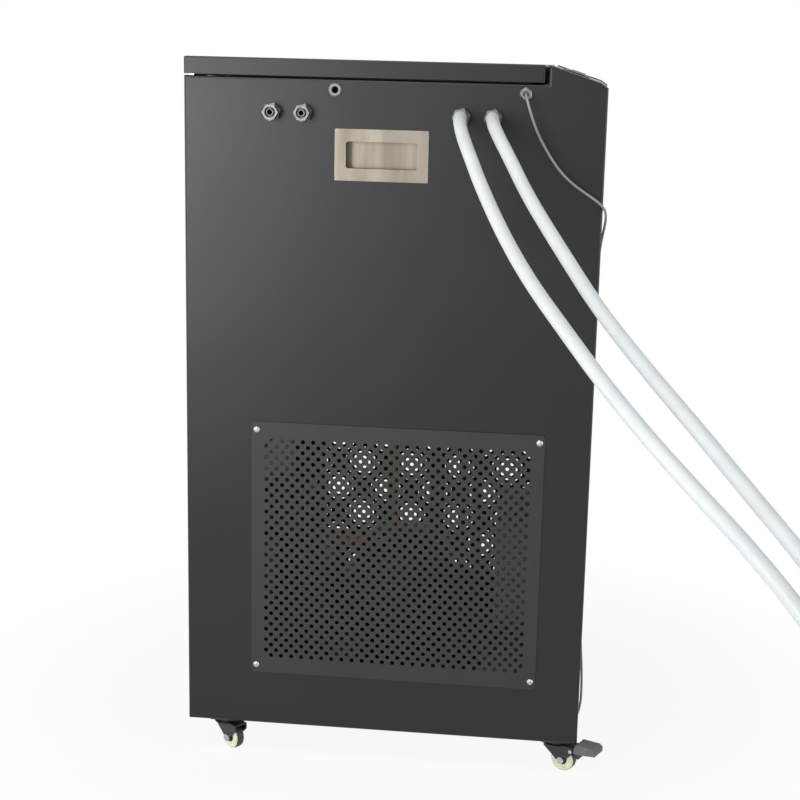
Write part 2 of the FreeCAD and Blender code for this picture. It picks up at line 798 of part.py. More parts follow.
def fitting_locknuts():
    """The four nuts that clamp the fittings on the panel."""
    nut = hexagon(LOCKNUT_FLATS, 0, LOCKNUT_HEIGHT)
    nut = nut.cut(rod(SHANK + 2 * SHAFT_FIT, UP * -1, UP * (LOCKNUT_HEIGHT + 1)))
    nut = placed(nut, Vector(), UP, 15)
    return Part.makeCompound([outward(nut, x, PORT_HEIGHT) for x in PORT_PLACES])


def probe_grommet():
    """A rubber grommet with an empty hole: a collar each side of the sheet and a neck through it."""
    collar = GROMMET_DIAMETER / 2
    bore = GROMMET_BORE / 2
    neck = GROMMET_NECK / 2
    profile = [
        (bore, -SHEET - 2),
        (collar - 1, -SHEET - 2),
        (collar, -SHEET - 1),
        (collar, -SHEET),
        (neck, -SHEET),
        (neck, 0),
        (collar, 0),
        (collar, 2),
        (collar - 1.2, 3.4),
        (bore + 0.8, 3.4),
        (bore, 2.6),
    ]
    return outward(turned(profile), *GROMMET_PLACE)


def probe_gland():
    """The hexagonal collar, a corner upwards, that the probe's cable comes out of."""
    collar = GLAND_FLATS / 2
    neck = GLAND_NECK / 2
    bore = PROBE_CABLE / 2 + 1.2
    cone = GLAND_FLATS / math.sqrt(3)
    profile = [
        (0, -SHEET - 3),
        (collar, -SHEET - 3),
        (collar, -SHEET),
        (neck, -SHEET),
        (neck, 0),
        (cone, 0),
        (cone, COLLAR_HEIGHT - 2.4),
        (collar - 1.6, COLLAR_HEIGHT),
        (bore + 0.6, COLLAR_HEIGHT),
        (bore, COLLAR_HEIGHT - 0.6),
        (bore, COLLAR_HEIGHT - 3),
        (0, COLLAR_HEIGHT - 3),
    ]
    flats = placed(hexagon(GLAND_FLATS, -SHEET, COLLAR_HEIGHT), Vector(), UP, 30)
    inside = rod(2 * collar, UP * -(SHEET + 3), UP * -SHEET)
    return outward(turned(profile).common(flats.fuse(inside)), *GLAND_PLACE)


def tank_shape(grow, z0, z1):
    """A rounded upright box round the bath, larger than the tank by a margin on each side."""
    solid = rounded_plate(TANK_LENGTH + 2 * grow, TANK_WIDTH + 2 * grow, TANK_CORNER + grow, z0, z1)
    return placed(solid, Vector(TANK_MIDDLE, 0, 0))


def stub_places():
    """Where hoses join the bath's bottom: each pump's suction and each circuit's return."""
    suctions = [(x + PUMP_INLET, PUMP_SIDE) for x in PUMP_PLACES]
    return suctions + [(x, RETURN_SIDE) for x in RETURN_STUBS]


def tank():
    """A welded stainless bath that hangs by its rim, with four stubs under it."""
    outside = tank_shape(0, TANK_BOTTOM, DECK_TOP + TANK_WALL / 2)
    rim = tank_shape(TANK_RIM, DECK_TOP, DECK_TOP + TANK_WALL)
    inside = tank_shape(-TANK_WALL, TANK_BOTTOM + TANK_WALL, BODY_TOP + 1)
    solid = fused(outside, rim)
    cuts = [inside, evaporator(EVAPORATOR_TUBE + EASE)]
    for x, y in stub_places():
        end = Vector(x, y, TANK_BOTTOM - STUB_LENGTH)
        solid = solid.fuse(rod(STUB_DIAMETER, end, Vector(x, y, TANK_BOTTOM + TANK_WALL / 2)))
        cuts.append(rod(STUB_BORE, end - UP, Vector(x, y, BODY_TOP)))
    return solid.cut(cuts)


def tank_insulation():
    """Foam round the bath's sides and under it."""
    foam = tank_shape(FOAM, FOAM_BOTTOM, DECK_TOP - SHEET)
    cuts = [tank_shape(0, TANK_BOTTOM, BODY_TOP), evaporator(EVAPORATOR_TUBE + 2 * EASE)]
    for x, y in stub_places():
        bottom = Vector(x, y, FOAM_BOTTOM - 1)
        cuts.append(rod(STUB_DIAMETER + 2 * EASE, bottom, Vector(x, y, BODY_TOP)))
    return foam.cut(cuts)


def evaporator_route():
    """Up and in through the plain side's wall, to and fro along it, then out again and down."""
    inside = TANK_WIDTH / 2 - EVAPORATOR_WALL_GAP - EVAPORATOR_TUBE / 2
    top = DECK_TOP - EVAPORATOR_TOP_GAP
    half = EVAPORATOR_RUN / 2
    first = TANK_MIDDLE - half
    points = [Vector(first, SIDE_GAP, top - EVAPORATOR_TAIL), Vector(first, SIDE_GAP, top)]
    points.append(Vector(first, inside, top))
    side = 1
    for run in range(EVAPORATOR_RUNS):
        height = top - run * EVAPORATOR_PITCH
        if run:
            points.append(Vector(TANK_MIDDLE - side * half, inside, height))
        points.append(Vector(TANK_MIDDLE + side * half, inside, height))
        side = -side
    last = points[-1]
    points.append(Vector(last.x, SIDE_GAP, last.z))
    points.append(Vector(last.x, SIDE_GAP, last.z - EVAPORATOR_TAIL))
    return points


def evaporator(diameter):
    """A round bar along the evaporator's route."""
    return tube(evaporator_route(), diameter, EVAPORATOR_BEND)[0]


def condenser():
    """A frame with flat tubes across it and upright fins between them."""
    x0 = CONDENSER_BACK
    x1 = x0 + CONDENSER_THICKNESS
    half = CONDENSER_WIDTH / 2
    top = PAN_TOP + CONDENSER_HEIGHT
    rim = CONDENSER_FRAME
    pieces = [
        block(x0, x1, -half, rim - half, PAN_TOP, top),
        block(x0, x1, half - rim, half, PAN_TOP, top),
        block(x0, x1, -half, half, PAN_TOP, PAN_TOP + rim),
        block(x0, x1, -half, half, top - rim, top),
    ]
    step = (CONDENSER_HEIGHT - 2 * rim) / (CONDENSER_TUBES + 1)
    for index in range(1, CONDENSER_TUBES + 1):
        low = PAN_TOP + rim + index * step - CONDENSER_TUBE_HEIGHT / 2
        pieces.append(block(x0 + 6, x1 - 6, -half + 1, half - 1, low, low + CONDENSER_TUBE_HEIGHT))
    step = (CONDENSER_WIDTH - 2 * rim) / (CONDENSER_FINS + 1)
    for index in range(1, CONDENSER_FINS + 1):
        low = rim - half + index * step - CONDENSER_FIN / 2
        pieces.append(block(x0 + 3, x1 - 3, low, low + CONDENSER_FIN, PAN_TOP + 1, top - 1))
    return fused(pieces[0], *pieces[1:])


def fan_axis(x):
    """A point on the fan's axis."""
    return Vector(x, 0, FAN_HEIGHT)


def fan_shroud():
    """A plate on the condenser's front with a round mouth and a ring."""
    half = CONDENSER_WIDTH / 2
    x0 = SHROUD_BACK
    mouth = FAN_DIAMETER + 2 * FAN_TIP_GAP
    plate = block(x0, x0 + SHEET, -half, half, PAN_TOP, PAN_TOP + CONDENSER_HEIGHT)
    ring = rod(mouth + 2 * SHEET, fan_axis(x0), fan_axis(x0 + SHROUD_RING))
    return fused(plate, ring).cut(rod(mouth, fan_axis(x0 - 1), fan_axis(x0 + SHROUD_RING + 1)))


def fan_motor():
    """The motor, its shaft, and three arms that reach the shroud's ring."""
    x0 = MOTOR_BACK
    shell = rod(MOTOR_DIAMETER, fan_axis(x0), fan_axis(x0 + MOTOR_LENGTH))
    rims = [e for e in shell.Edges if len(e.Vertexes) == 1]
    shell = shell.makeFillet(4, rims)
    shaft = rod(MOTOR_SHAFT, fan_axis(FAN_BACK + 3), fan_axis(x0 + 1))
    outer = FAN_DIAMETER / 2 + FAN_TIP_GAP + SHEET
    pieces = [shaft]
    for index in range(3):
        length = outer + MOTOR_ARM
        arm = block(0, 2, -MOTOR_ARM / 2, MOTOR_ARM / 2, MOTOR_DIAMETER / 2 - 6, length)
        leg_start = SHROUD_BACK + SHEET - x0
        leg = block(leg_start, 2, -MOTOR_ARM / 2, MOTOR_ARM / 2, outer + 1, outer + MOTOR_ARM)
        pieces.append(placed(arm.fuse(leg), fan_axis(x0), ALONG, 120 * index + 60))
    return fused(shell, *pieces)


def fan_blades():
    """A moulded hub with pitched blades, free to turn on the motor's shaft."""
    hub = rod(FAN_HUB, fan_axis(FAN_BACK), fan_axis(FAN_BACK + FAN_WIDTH))
    tip = FAN_DIAMETER / 2
    root = FAN_HUB / 2 - 3
    half = BLADE_CHORD / 2
    corners = [
        Vector(0, -half * 0.55, root),
        Vector(0, half * 0.5, root),
        Vector(0, half * 0.95, tip * 0.7),
        Vector(0, half * 0.8, tip * 0.94),
        Vector(0, -half * 0.75, tip * 0.9),
        Vector(0, -half * 0.9, tip * 0.6),
    ]
    outline = Part.Face(Part.makePolygon(corners + corners[:1]))
    blade = outline.extrude(Vector(BLADE_THICKNESS, 0, 0))
    blade.translate(Vector(-BLADE_THICKNESS / 2, 0, 0))
    blade = placed(blade, Vector(), UP, BLADE_PITCH)
    middle = fan_axis(FAN_BACK + FAN_WIDTH / 2)
    blades = []
    for index in range(FAN_BLADES):
        turned_blade = placed(blade, Vector(), ALONG, 360 / FAN_BLADES * index)
        blades.append(placed(turned_blade, middle))
    swept = rod(FAN_DIAMETER, fan_axis(FAN_BACK), fan_axis(FAN_BACK + FAN_WIDTH))
    rotor = fused(hub, *[b.common(swept) for b in blades])
    bore = rod(MOTOR_SHAFT + 2 * SHAFT_FIT, fan_axis(FAN_BACK + 3 - EASE), fan_axis(MOTOR_BACK))
    return rotor.cut(bore)


def compressor_level():
    """The underside of the compressor's foot, on top of its rubber mounts."""
    return PAN_TOP + MOUNT_HEIGHT


def compressor():
    """A welded shell with a domed top and bottom on a foot plate, with a terminal cover."""
    radius = COMPRESSOR_DIAMETER / 2
    low = compressor_level() + COMPRESSOR_FOOT
    top = low + COMPRESSOR_HEIGHT
    dome = COMPRESSOR_DOME
    seam = low + COMPRESSOR_HEIGHT * 0.56
    start = Vector(0, 0, top)
    shoulder = Vector(radius, 0, top - dome)
    over = Vector(radius * 0.72, 0, top - dome * 0.3)
    under = Vector(radius * 0.72, 0, low + dome * 0.2)
    foot = Vector(0, 0, low)
    waist = Vector(radius, 0, low + dome * 0.8)
    seam_points = [
        shoulder,
        Vector(radius, 0, seam + 4),
        Vector(radius + COMPRESSOR_SEAM, 0, seam + 3),
        Vector(radius + COMPRESSOR_SEAM, 0, seam - 3),
        Vector(radius, 0, seam - 4),
        waist,
    ]
    edges = [Part.Arc(start, over, shoulder).toShape()]
    for a, b in zip(seam_points, seam_points[1:]):
        edges.append(Part.LineSegment(a, b).toShape())
    edges.append(Part.Arc(waist, under, foot).toShape())
    edges.append(Part.LineSegment(foot, start).toShape())
    shell = Part.Face(Part.Wire(edges)).revolve(Vector(), UP, 360)
    level = compressor_level()
    length, width = [size + 2 * COMPRESSOR_PLATE_EDGE for size in COMPRESSOR_FEET]
    plate = rounded_plate(length, width, 10, level, level + COMPRESSOR_FOOT)
    saddle = Part.makeCylinder(radius * 0.6, COMPRESSOR_FOOT + dome, Vector(0, 0, level))
    proud, broad, tall = TERMINAL_COVER
    cover_low = low + TERMINAL_RISE
    cover = block(-radius - proud, -radius * 0.7, -broad / 2, broad / 2, cover_low, cover_low + tall)
    body = fused(shell, plate, saddle, cover)
    holes = []
    for x, y in compressor_feet():
        holes.append(rod(FOOT_HOLE, Vector(x, y, level - 1), Vector(x, y, level + COMPRESSOR_FOOT + 1)))
    body = placed(body.cut(holes), Vector(*COMPRESSOR_PLACE, 0))
    ports = ((SUCTION_HEADING, SUCTION_HEIGHT), (DISCHARGE_HEADING, DISCHARGE_HEIGHT))
    stubs = []
    for port in ports:
        inner = compressor_port(*port, radius * 0.6)
        stubs.append(rod(REFRIGERANT_TUBE, inner, compressor_port(*port, STUB_REACH)))
    return fused(body, *stubs)


def compressor_port(heading, height, reach):
    """A point beside the compressor, at a heading about its axis and a height over its foot."""
    x, y = COMPRESSOR_PLACE
    angle = math.radians(heading)
    level = compressor_level() + COMPRESSOR_FOOT + height
    return Vector(x + reach * math.cos(angle), y + reach * math.sin(angle), level)


def compressor_feet():
    """The four feet, about the compressor's own axis."""
    dx, dy = [size / 2 for size in COMPRESSOR_FEET]
    return [(-dx, -dy), (dx, -dy), (-dx, dy), (dx, dy)]


def compressor_mounts():
    """Rubber bushes with a waist, one under each foot, with the spigot that locates it."""
    wide = MOUNT_DIAMETER / 2
    spigot = (FOOT_HOLE - EASE) / 2
    profile = [
        (0, 0),
        (wide, 0),
        (wide, 4),
        (wide - 3, MOUNT_HEIGHT / 2),
        (wide, MOUNT_HEIGHT - 3),
        (wide, MOUNT_HEIGHT),
        (spigot, MOUNT_HEIGHT),
        (spigot, MOUNT_HEIGHT + COMPRESSOR_FOOT),
        (0, MOUNT_HEIGHT + COMPRESSOR_FOOT),
    ]
    x0, y0 = COMPRESSOR_PLACE
    bushes = [placed(turned(profile), Vector(x0 + x, y0 + y, PAN_TOP)) for x, y in compressor_feet()]
    return Part.makeCompound(bushes)


def filter_drier():
    """A spun copper shell with a neck at each end, lying along the cabinet."""
    wide = DRIER_DIAMETER / 2
    neck = REFRIGERANT_TUBE / 2 + 1
    half = DRIER_LENGTH / 2
    profile = [
        (0, -half - DRIER_NECK),
        (neck, -half - DRIER_NECK),
        (neck, -half - 2),
        (wide * 0.75, -half + 4),
        (wide, -half + 12),
        (wide, half - 12),
        (wide * 0.75, half - 4),
        (neck, half + 2),
        (neck, half + DRIER_NECK),
        (0, half + DRIER_NECK),
    ]
    return placed(turned(profile), Vector(*DRIER_PLACE), ACROSS, 90)


def refrigerant_pipes():
    """The copper circuit: discharge to the condenser, then through the drier to the bath's coil."""
    port = (DISCHARGE_HEADING, DISCHARGE_HEIGHT)
    stub = compressor_port(*port, STUB_REACH)
    riser = compressor_port(*port, RISER_REACH)
    half = CONDENSER_WIDTH / 2
    column = CONDENSER_BACK + CONDENSER_THICKNESS / 2
    top = PAN_TOP + CONDENSER_HEIGHT
    header = half - CONDENSER_FRAME
    hot = [
        stub,
        riser,
        Vector(riser.x, riser.y, top + 34),
        Vector(column, header, top + 34),
        Vector(column, header, top),
    ]
    drier = Vector(*DRIER_PLACE)
    reach = ALONG * (DRIER_LENGTH / 2 + DRIER_NECK)
    elbow = REFRIGERANT_BEND + 1
    side = half + 23
    turn_x = (drier - reach).x - elbow
    level = PAN_TOP + 52
    liquid = [
        drier - reach,
        Vector(turn_x, drier.y, drier.z),
        Vector(turn_x, drier.y, drier.z + 42),
        Vector(turn_x, side, drier.z + 42),
        Vector(turn_x, side, level),
        Vector(column, side, level),
        Vector(column, half, level),
    ]
    cold = evaporator_route()[0]
    rise_x = (drier + reach).x + elbow
    over = FOAM_BOTTOM - 25
    expansion = [
        drier + reach,
        Vector(rise_x, drier.y, drier.z),
        Vector(rise_x, drier.y, over),
        Vector(rise_x, cold.y, over),
        Vector(cold.x, cold.y, over),
        cold,
    ]
    runs = [tube(route, REFRIGERANT_TUBE, REFRIGERANT_BEND)[0] for route in (hot, liquid, expansion)]
    return Part.makeCompound([runs[0], fused(filter_drier(), runs[1], runs[2])])


def suction_line():
    """The insulated return from the bath's coil to the compressor."""
    port = (SUCTION_HEADING, SUCTION_HEIGHT)
    riser = compressor_port(*port, RISER_REACH)
    warm = evaporator_route()[-1]
    over = FOAM_BOTTOM - 27
    route = [
        warm,
        Vector(warm.x, warm.y, over),
        Vector(riser.x, riser.y, over),
        riser,
        compressor_port(*port, STUB_REACH),
    ]
    return tube(route, SUCTION_SLEEVE, SUCTION_BEND)[0]


def pump_axis():
    """The height of the pumps' shafts."""
    return PAN_TOP + PUMP_FOOT[2] + PUMP_HEAD / 2


def pumps():
    """Two circulation pumps on the pan, each with its inlet and outlet on top of its head."""
    length, width, foot = PUMP_FOOT
    height = pump_axis()
    group = []
    for x in PUMP_PLACES:
        plate = centred(length, width, PAN_TOP, PAN_TOP + foot, x, PUMP_SIDE)
        saddle = centred(length * 0.6, width * 0.4, PAN_TOP, height, x - 8, PUMP_SIDE)
        face = PUMP_OUTLET - (PUMP_HEAD_LENGTH - PUMP_INLET + PUMP_OUTLET) / 2
        start = Vector(x + face, PUMP_SIDE, height)
        motor = rod(PUMP_MOTOR, start - ALONG * PUMP_MOTOR_LENGTH, start + ALONG)
        head = rod(PUMP_HEAD, start, start + ALONG * PUMP_HEAD_LENGTH)
        pieces = [saddle, motor, head]
        for offset in (PUMP_OUTLET, PUMP_INLET):
            low = Vector(x + offset, PUMP_SIDE, height)
            pieces.append(rod(STUB_DIAMETER, low, low + UP * (PUMP_HEAD / 2 + PUMP_STUB_HEIGHT)))
        group.append(fused(plate, *pieces))
    return Part.makeCompound(group)


def inner_hoses():
    """Six runs inside the cabinet: each circuit's supply, return and pump suction."""
    side = HALF_WIDTH + ELBOW_DIAMETER / 2 - SHEET - ELBOW_DEPTH
    top = PORT_HEIGHT - ELBOW_DROP
    stub_end = TANK_BOTTOM - STUB_LENGTH
    pump_top = pump_axis() + PUMP_HEAD / 2 + PUMP_STUB_HEIGHT
    group = []
    for pump, supply, back, stub in zip(PUMP_PLACES, PORT_PLACES[::2], PORT_PLACES[1::2], RETURN_STUBS):
        outlet = pump + PUMP_OUTLET
        inlet = pump + PUMP_INLET
        down = [
            Vector(supply, -side, top),
            Vector(supply, -side, stub_end),
            Vector(outlet, PUMP_SIDE, stub_end - SUPPLY_DROP),
            Vector(outlet, PUMP_SIDE, pump_top),
        ]
        home = [
            Vector(back, -side, top),
            Vector(back, -side, stub_end - INNER_BEND - 3),
            Vector(stub, RETURN_SIDE, stub_end - INNER_BEND - 3),
            Vector(stub, RETURN_SIDE, stub_end),
        ]
        group += [tube(route, INNER_HOSE, INNER_BEND)[0] for route in (down, home)]
        group.append(
            rod(INNER_HOSE, Vector(inlet, PUMP_SIDE, pump_top), Vector(inlet, PUMP_SIDE, stub_end))
        )
    return Part.makeCompound(group)


def electrical_box():
    """The wiring box on the front panel's back: a cover above, a deeper part below, two glands."""
    depth, width, height = BOX_SIZE
    y, z = BOX_CENTRE
    back = FRONT_PANEL_FACE - SHEET
    box = rounded_plate(height, width, BOX_CORNER, 0, depth)
    lid = rounded_plate(height + 4, width + 4, BOX_CORNER + 2, depth - BOX_LID, depth)
    upper = placed(fused(box, lid), Vector(back, y, z), ACROSS, -90)
    seat = z - height / 2 + BOX_CORNER
    bottom = seat - BOX_LOWER_HEIGHT
    lower = rounded_plate(BOX_LOWER_HEIGHT, width, BOX_CORNER, 0, BOX_LOWER_DEPTH)
    lower = placed(lower, Vector(back, y, (seat + bottom) / 2), ACROSS, -90)
    glands = []
    for offset in (-width / 4, width / 4):
        low = Vector(back - depth / 2, y + offset, bottom)
        glands.append(rod(16, low - UP * 12, low + UP * 4))
    return fused(upper, lower, *glands)


def rocker_pivot():
    """The rocker switch's axis, upright behind the inlet's flange."""
    y, z = INLET_CENTRE
    return Vector(REAR_PANEL_BACK - INLET_FLANGE + ROCKER_DEPTH, y, z + ROCKER_RISE)


def power_inlet():
    """The mains inlet with three pins in its socket, and the pocket of the rocker above it."""
    y, z = INLET_CENTRE
    width, height = INLET_PLATE
    face = REAR_PANEL_BACK - INLET_FLANGE
    flange = rounded_plate(height, width, 4, 0, INLET_FLANGE)
    flange = placed(flange, Vector(face, y, z), ACROSS, 90)
    wide, tall = [size / 2 - 3 - EASE for size in INLET_PLATE]
    body = block(face + 1, face + INLET_DEPTH, y - wide, y + wide, z - tall, z + tall)
    wide, tall = [size / 2 for size in INLET_SOCKET]
    low = z - INLET_SOCKET_DROP
    socket = block(face - 1, face + INLET_SOCKET_DEPTH, y - wide, y + wide, low - tall, low + tall)
    pivot = rocker_pivot()
    half = ROCKER_WIDTH / 2 + EASE
    pocket = rod(2 * (ROCKER_RADIUS + EASE), pivot - UP * half, pivot + UP * half)
    half = ROCKER_WIDTH / 2 + 3
    pin = rod(ROCKER_PIN + 2 * SHAFT_FIT, pivot - UP * half, pivot + UP * half)
    module = fused(flange, body).cut([socket, pocket, pin])
    thick, broad, length = INLET_PIN
    end = face + INLET_SOCKET_DEPTH
    pins = []
    for offset, lift in ((-7, -2), (7, -2), (0, 3)):
        foot = low + lift - broad / 2
        pins.append(centred(length + 1, thick, foot, foot + broad, end + 0.5 - length / 2, y + offset))
    return fused(module, *pins)


def power_rocker():
    """The inlet's rocker, with a shallow valley across its face, resting on its lower side."""
    half = ROCKER_WIDTH / 2
    drum = rod(2 * ROCKER_RADIUS, UP * -half, UP * half)
    slant = ROCKER_RADIUS * math.tan(math.radians(ROCKER_TILT))
    corners = [
        Vector(-ROCKER_VALLEY, 0, -half),
        Vector(-ROCKER_VALLEY - slant, ROCKER_RADIUS, -half),
        Vector(5, ROCKER_RADIUS, -half),
        Vector(5, -ROCKER_RADIUS, -half),
        Vector(-ROCKER_VALLEY - slant, -ROCKER_RADIUS, -half),
    ]
    outline = Part.Face(Part.makePolygon(corners + corners[:1])).extrude(UP * ROCKER_WIDTH)
    pin = rod(ROCKER_PIN, UP * -(half + 2.6), UP * (half + 2.6))
    return placed(fused(drum.common(outline), pin), rocker_pivot(), UP, -ROCKER_TILT)


def controller(y):
    """A panel-mounted controller: bezel, housing behind it, window recess and two key wells."""
    length, width = CONTROLLER_PLATE
    bezel = rounded_plate(length, width, 3, 0, CONTROLLER_LIFT)
    housing = centred(*CONTROLLER_BODY, -CONTROLLER_DEPTH, 1)
    window = centred(*WINDOW, CONTROLLER_LIFT - WINDOW_DEPTH, CONTROLLER_LIFT + 1, 0, WINDOW_OFFSET)
    wells = []
    floor = CONTROLLER_LIFT + KEY_PROUD - KEY_HEIGHT - KEY_TRAVEL - EASE
    for offset in KEY_OFFSETS:
        size = [side + 2 * EASE for side in KEY_SIZE]
        wells.append(centred(*size, floor, CONTROLLER_LIFT + 1, 0, offset))
    solid = fused(bezel, housing).cut([window] + wells)
    return on_slope(placed(solid, UP * -SHEET), y)


def controller_key(y, offset):
    """A key in its well, standing a little proud of the bezel."""
    top = CONTROLLER_LIFT + KEY_PROUD
    key = centred(*KEY_SIZE, top - KEY_HEIGHT, top, 0, offset)
    upper = [e for e in key.Edges if min(v.Z for v in e.Vertexes) > top - EASE]
    return on_slope(placed(key.makeChamfer(0.4, upper), UP * -SHEET), y)


def castor_plates():
    """Four plates, each with its ball race, the swivel's pin and the pin's riveted head."""
    plate = rounded_plate(PLATE_SIZE, PLATE_SIZE, 3, FLOOR_TO_BODY - PLATE_THICKNESS, FLOOR_TO_BODY)
    race = rod(RACE_DIAMETER, UP * (FORK_TOP + EASE), UP * FLOOR_TO_BODY)
    under = FORK_TOP - FORK_SHEET - EASE
    pin = rod(SWIVEL_PIN, UP * (under - 1), UP * FLOOR_TO_BODY)
    head = rod(SWIVEL_PIN + 4, UP * (under - RIVET_HEAD), UP * under)
    whole = fused(plate, race, pin, head)
    group = [placed(whole, Vector(x, side * CASTOR_SIDE, 0)) for _, x, side, _, _ in CASTORS]
    return Part.makeCompound(group)


def castor_fork(braked):
    """A pressed fork with its axle, nuts and, where there is a brake, the pedal's riveted pin."""
    inner = WHEEL_WIDTH / 2 + FORK_SIDE_GAP
    outer = inner + FORK_SHEET
    under = FORK_TOP - FORK_SHEET
    foot = FORK_BOSS / 2 - 0.6
    leg = [
        (-FORK_BACK, FORK_TOP),
        (FORK_REACH, FORK_TOP),
        (FORK_REACH, under - 6.5),
        (TRAIL + foot, AXLE_HEIGHT + 1),
        (TRAIL - foot, AXLE_HEIGHT - 2),
        (-FORK_BACK, under - 3.5),
    ]
    pieces = [block(-FORK_BACK, FORK_REACH, -outer, outer, under, FORK_TOP)]
    pieces.append(rod(FORK_TABLE, UP * under, UP * FORK_TOP))
    for side in (-1, 1):
        y0, y1 = sorted((side * inner, side * outer))
        axle_y = Vector(TRAIL, y0, AXLE_HEIGHT)
        pieces.append(prism(leg, y0, y1))
        pieces.append(rod(FORK_BOSS, axle_y, axle_y + ACROSS * FORK_SHEET))
        nut = Vector(TRAIL, side * outer, AXLE_HEIGHT)
        pieces.append(rod(9, nut - ACROSS * side * 0.4, nut + ACROSS * side * 2.5))
    middle = Vector(TRAIL, 0, AXLE_HEIGHT)
    pieces.append(rod(AXLE_DIAMETER, middle - ACROSS * (inner + 1), middle + ACROSS * (inner + 1)))
    if braked:
        x, z = PEDAL_PIVOT
        pieces.append(rod(PEDAL_PIN, Vector(x, -outer, z), Vector(x, outer, z)))
        for side in (-1, 1):
            end = Vector(x, side * outer, z)
            pieces.append(rod(PEDAL_PIN + 2, end - ACROSS * side * 0.4, end + ACROSS * side))
    fork = fused(pieces[0], *pieces[1:])
    return fork.cut(rod(SWIVEL_PIN + 2 * SHAFT_FIT, UP * (under - 1), UP * (FORK_TOP + 1)))


def castor_wheel():
    """A wheel with a soft rounded tyre and a slightly dished hub."""
    half = WHEEL_WIDTH / 2
    bore = AXLE_DIAMETER / 2 + SHAFT_FIT
    edge = WHEEL_DIAMETER / 2
    side = [
        (bore, half),
        (6, half),
        (7, half - 1),
        (10, half - 1),
        (11.4, half),
        (edge - 2, half - 0.5),
        (edge - 0.5, half - 1.8),
        (edge, half - 3.6),
    ]
    profile = side + [(r, -z) for r, z in side[::-1]]
    return placed(turned(profile), Vector(TRAIL, 0, AXLE_HEIGHT), ALONG, 90)


def castor_brake():
    """A foot pedal on the fork's pin: a sleeve, a web, a raised pad and the shoe behind the wheel."""
    x, z = PEDAL_PIVOT
    half = WHEEL_WIDTH / 2 + FORK_SIDE_GAP - EASE
    hub = rod(PEDAL_HUB, Vector(x, -half, z), Vector(x, half, z))
    web = block(x, PEDAL_START + 2, -half, half, z - 2, z + 2)
    wide = PEDAL_WIDTH / 2
    slab = [
        (PEDAL_START, PEDAL_LOW - 1),
        (PEDAL_START + 6, PEDAL_LOW - 1),
        (PEDAL_END, PEDAL_LOW + 2),
        (PEDAL_END, PEDAL_TOP - 3),
        (PEDAL_END - 4, PEDAL_TOP),
        (PEDAL_START + 2, PEDAL_TOP),
        (PEDAL_START, PEDAL_TOP - 4),
    ]
    pad = prism(slab, -wide, wide)
    thick, low = BRAKE_SHOE
    shoe = block(PEDAL_START, PEDAL_START + thick, -half, half, low, PEDAL_LOW)
    bore = rod(PEDAL_PIN + 2 * SHAFT_FIT, Vector(x, -half - 1, z), Vector(x, half + 1, z))
    return fused(hub, web, pad, shoe).cut(bore)


def cord_points(route):
    """A route's points in the cabinet's frame."""
    return [Vector(x, -HALF_WIDTH - out, z) for x, out, z in route]


def probe_tip():
    """The steel sheath at the end of the probe's cable."""
    points = cord_points(PROBE_ROUTE)
    away = points[-1] - points[-2]
    away.z = 0
    away.normalize()
    sheath = rod(PROBE_DIAMETER, points[-1], points[-1] + away * PROBE_LENGTH)
    far = [e for e in sheath.Edges if (e.CenterOfMass - points[-1]).Length > PROBE_LENGTH - 1]
    return sheath.makeFillet(1.2, [e for e in far if e.Closed and len(e.Vertexes) == 1])


def build():
    """Every piece by its node's name, and the names of the cords."""
    hinge_fixed, hinge_moving = hinge_halves()
    near_grille = grille()
    near_handle = handle()
    parts = {
        "base_pan": base_pan(),
        "port_side_panel": port_side_panel(),
        "plain_side_panel": opposite(side_panel()),
        "rear_panel": rear_panel(),
        "front_panel": front_panel(),
        "control_panel": control_panel(),
        "top_deck": top_deck(),
        "lid_shell": lid_shell(),
        "lid_insulation": lid_insulation(),
        "hinge_fixed_halves": hinge_fixed,
        "hinge_moving_halves": hinge_moving,
        "port_side_grille": near_grille,
        "plain_side_grille": opposite(near_grille),
        "grille_screws": panel_screws(),
        "port_side_handle": near_handle,
        "plain_side_handle": opposite(near_handle),
        "fitting_locknuts": fitting_locknuts(),
        "probe_grommet": probe_grommet(),
        "probe_gland": probe_gland(),
        "tank": tank(),
        "tank_insulation": tank_insulation(),
        "evaporator_coil": evaporator(EVAPORATOR_TUBE),
        "condenser": condenser(),
        "fan_shroud": fan_shroud(),
        "fan_motor": fan_motor(),
        "fan_blades": fan_blades(),
        "compressor": compressor(),
        "compressor_mounts": compressor_mounts(),
        "refrigerant_pipes": refrigerant_pipes(),
        "suction_line": suction_line(),
        "circulation_pumps": pumps(),
        "inner_hoses": inner_hoses(),
        "electrical_box": electrical_box(),
        "power_inlet": power_inlet(),
        "power_rocker": power_rocker(),
        "castor_plates": castor_plates(),
        "probe_tip": probe_tip(),
    }
    for index, x in enumerate(PORT_PLACES, 1):
        parts[f"hose_fitting_{index}"] = hose_fitting(x)
    for index, y in enumerate(controller_sides(), 1):
        parts[f"controller_{index}"] = controller(y)
        for label, offset in zip(("a", "b"), KEY_OFFSETS):
            parts[f"key_{index}{label}"] = controller_key(y, offset)
    for name, x, side, heading, braked in CASTORS:
        spot = Vector(x, side * CASTOR_SIDE, 0)
        parts[f"castor_fork_{name}"] = placed(castor_fork(braked), spot, UP, heading)
        parts[f"castor_wheel_{name}"] = placed(castor_wheel(), spot, UP, heading)
        if braked:
            parts[f"castor_brake_{name}"] = placed(castor_brake(), spot, UP, heading)
    return parts


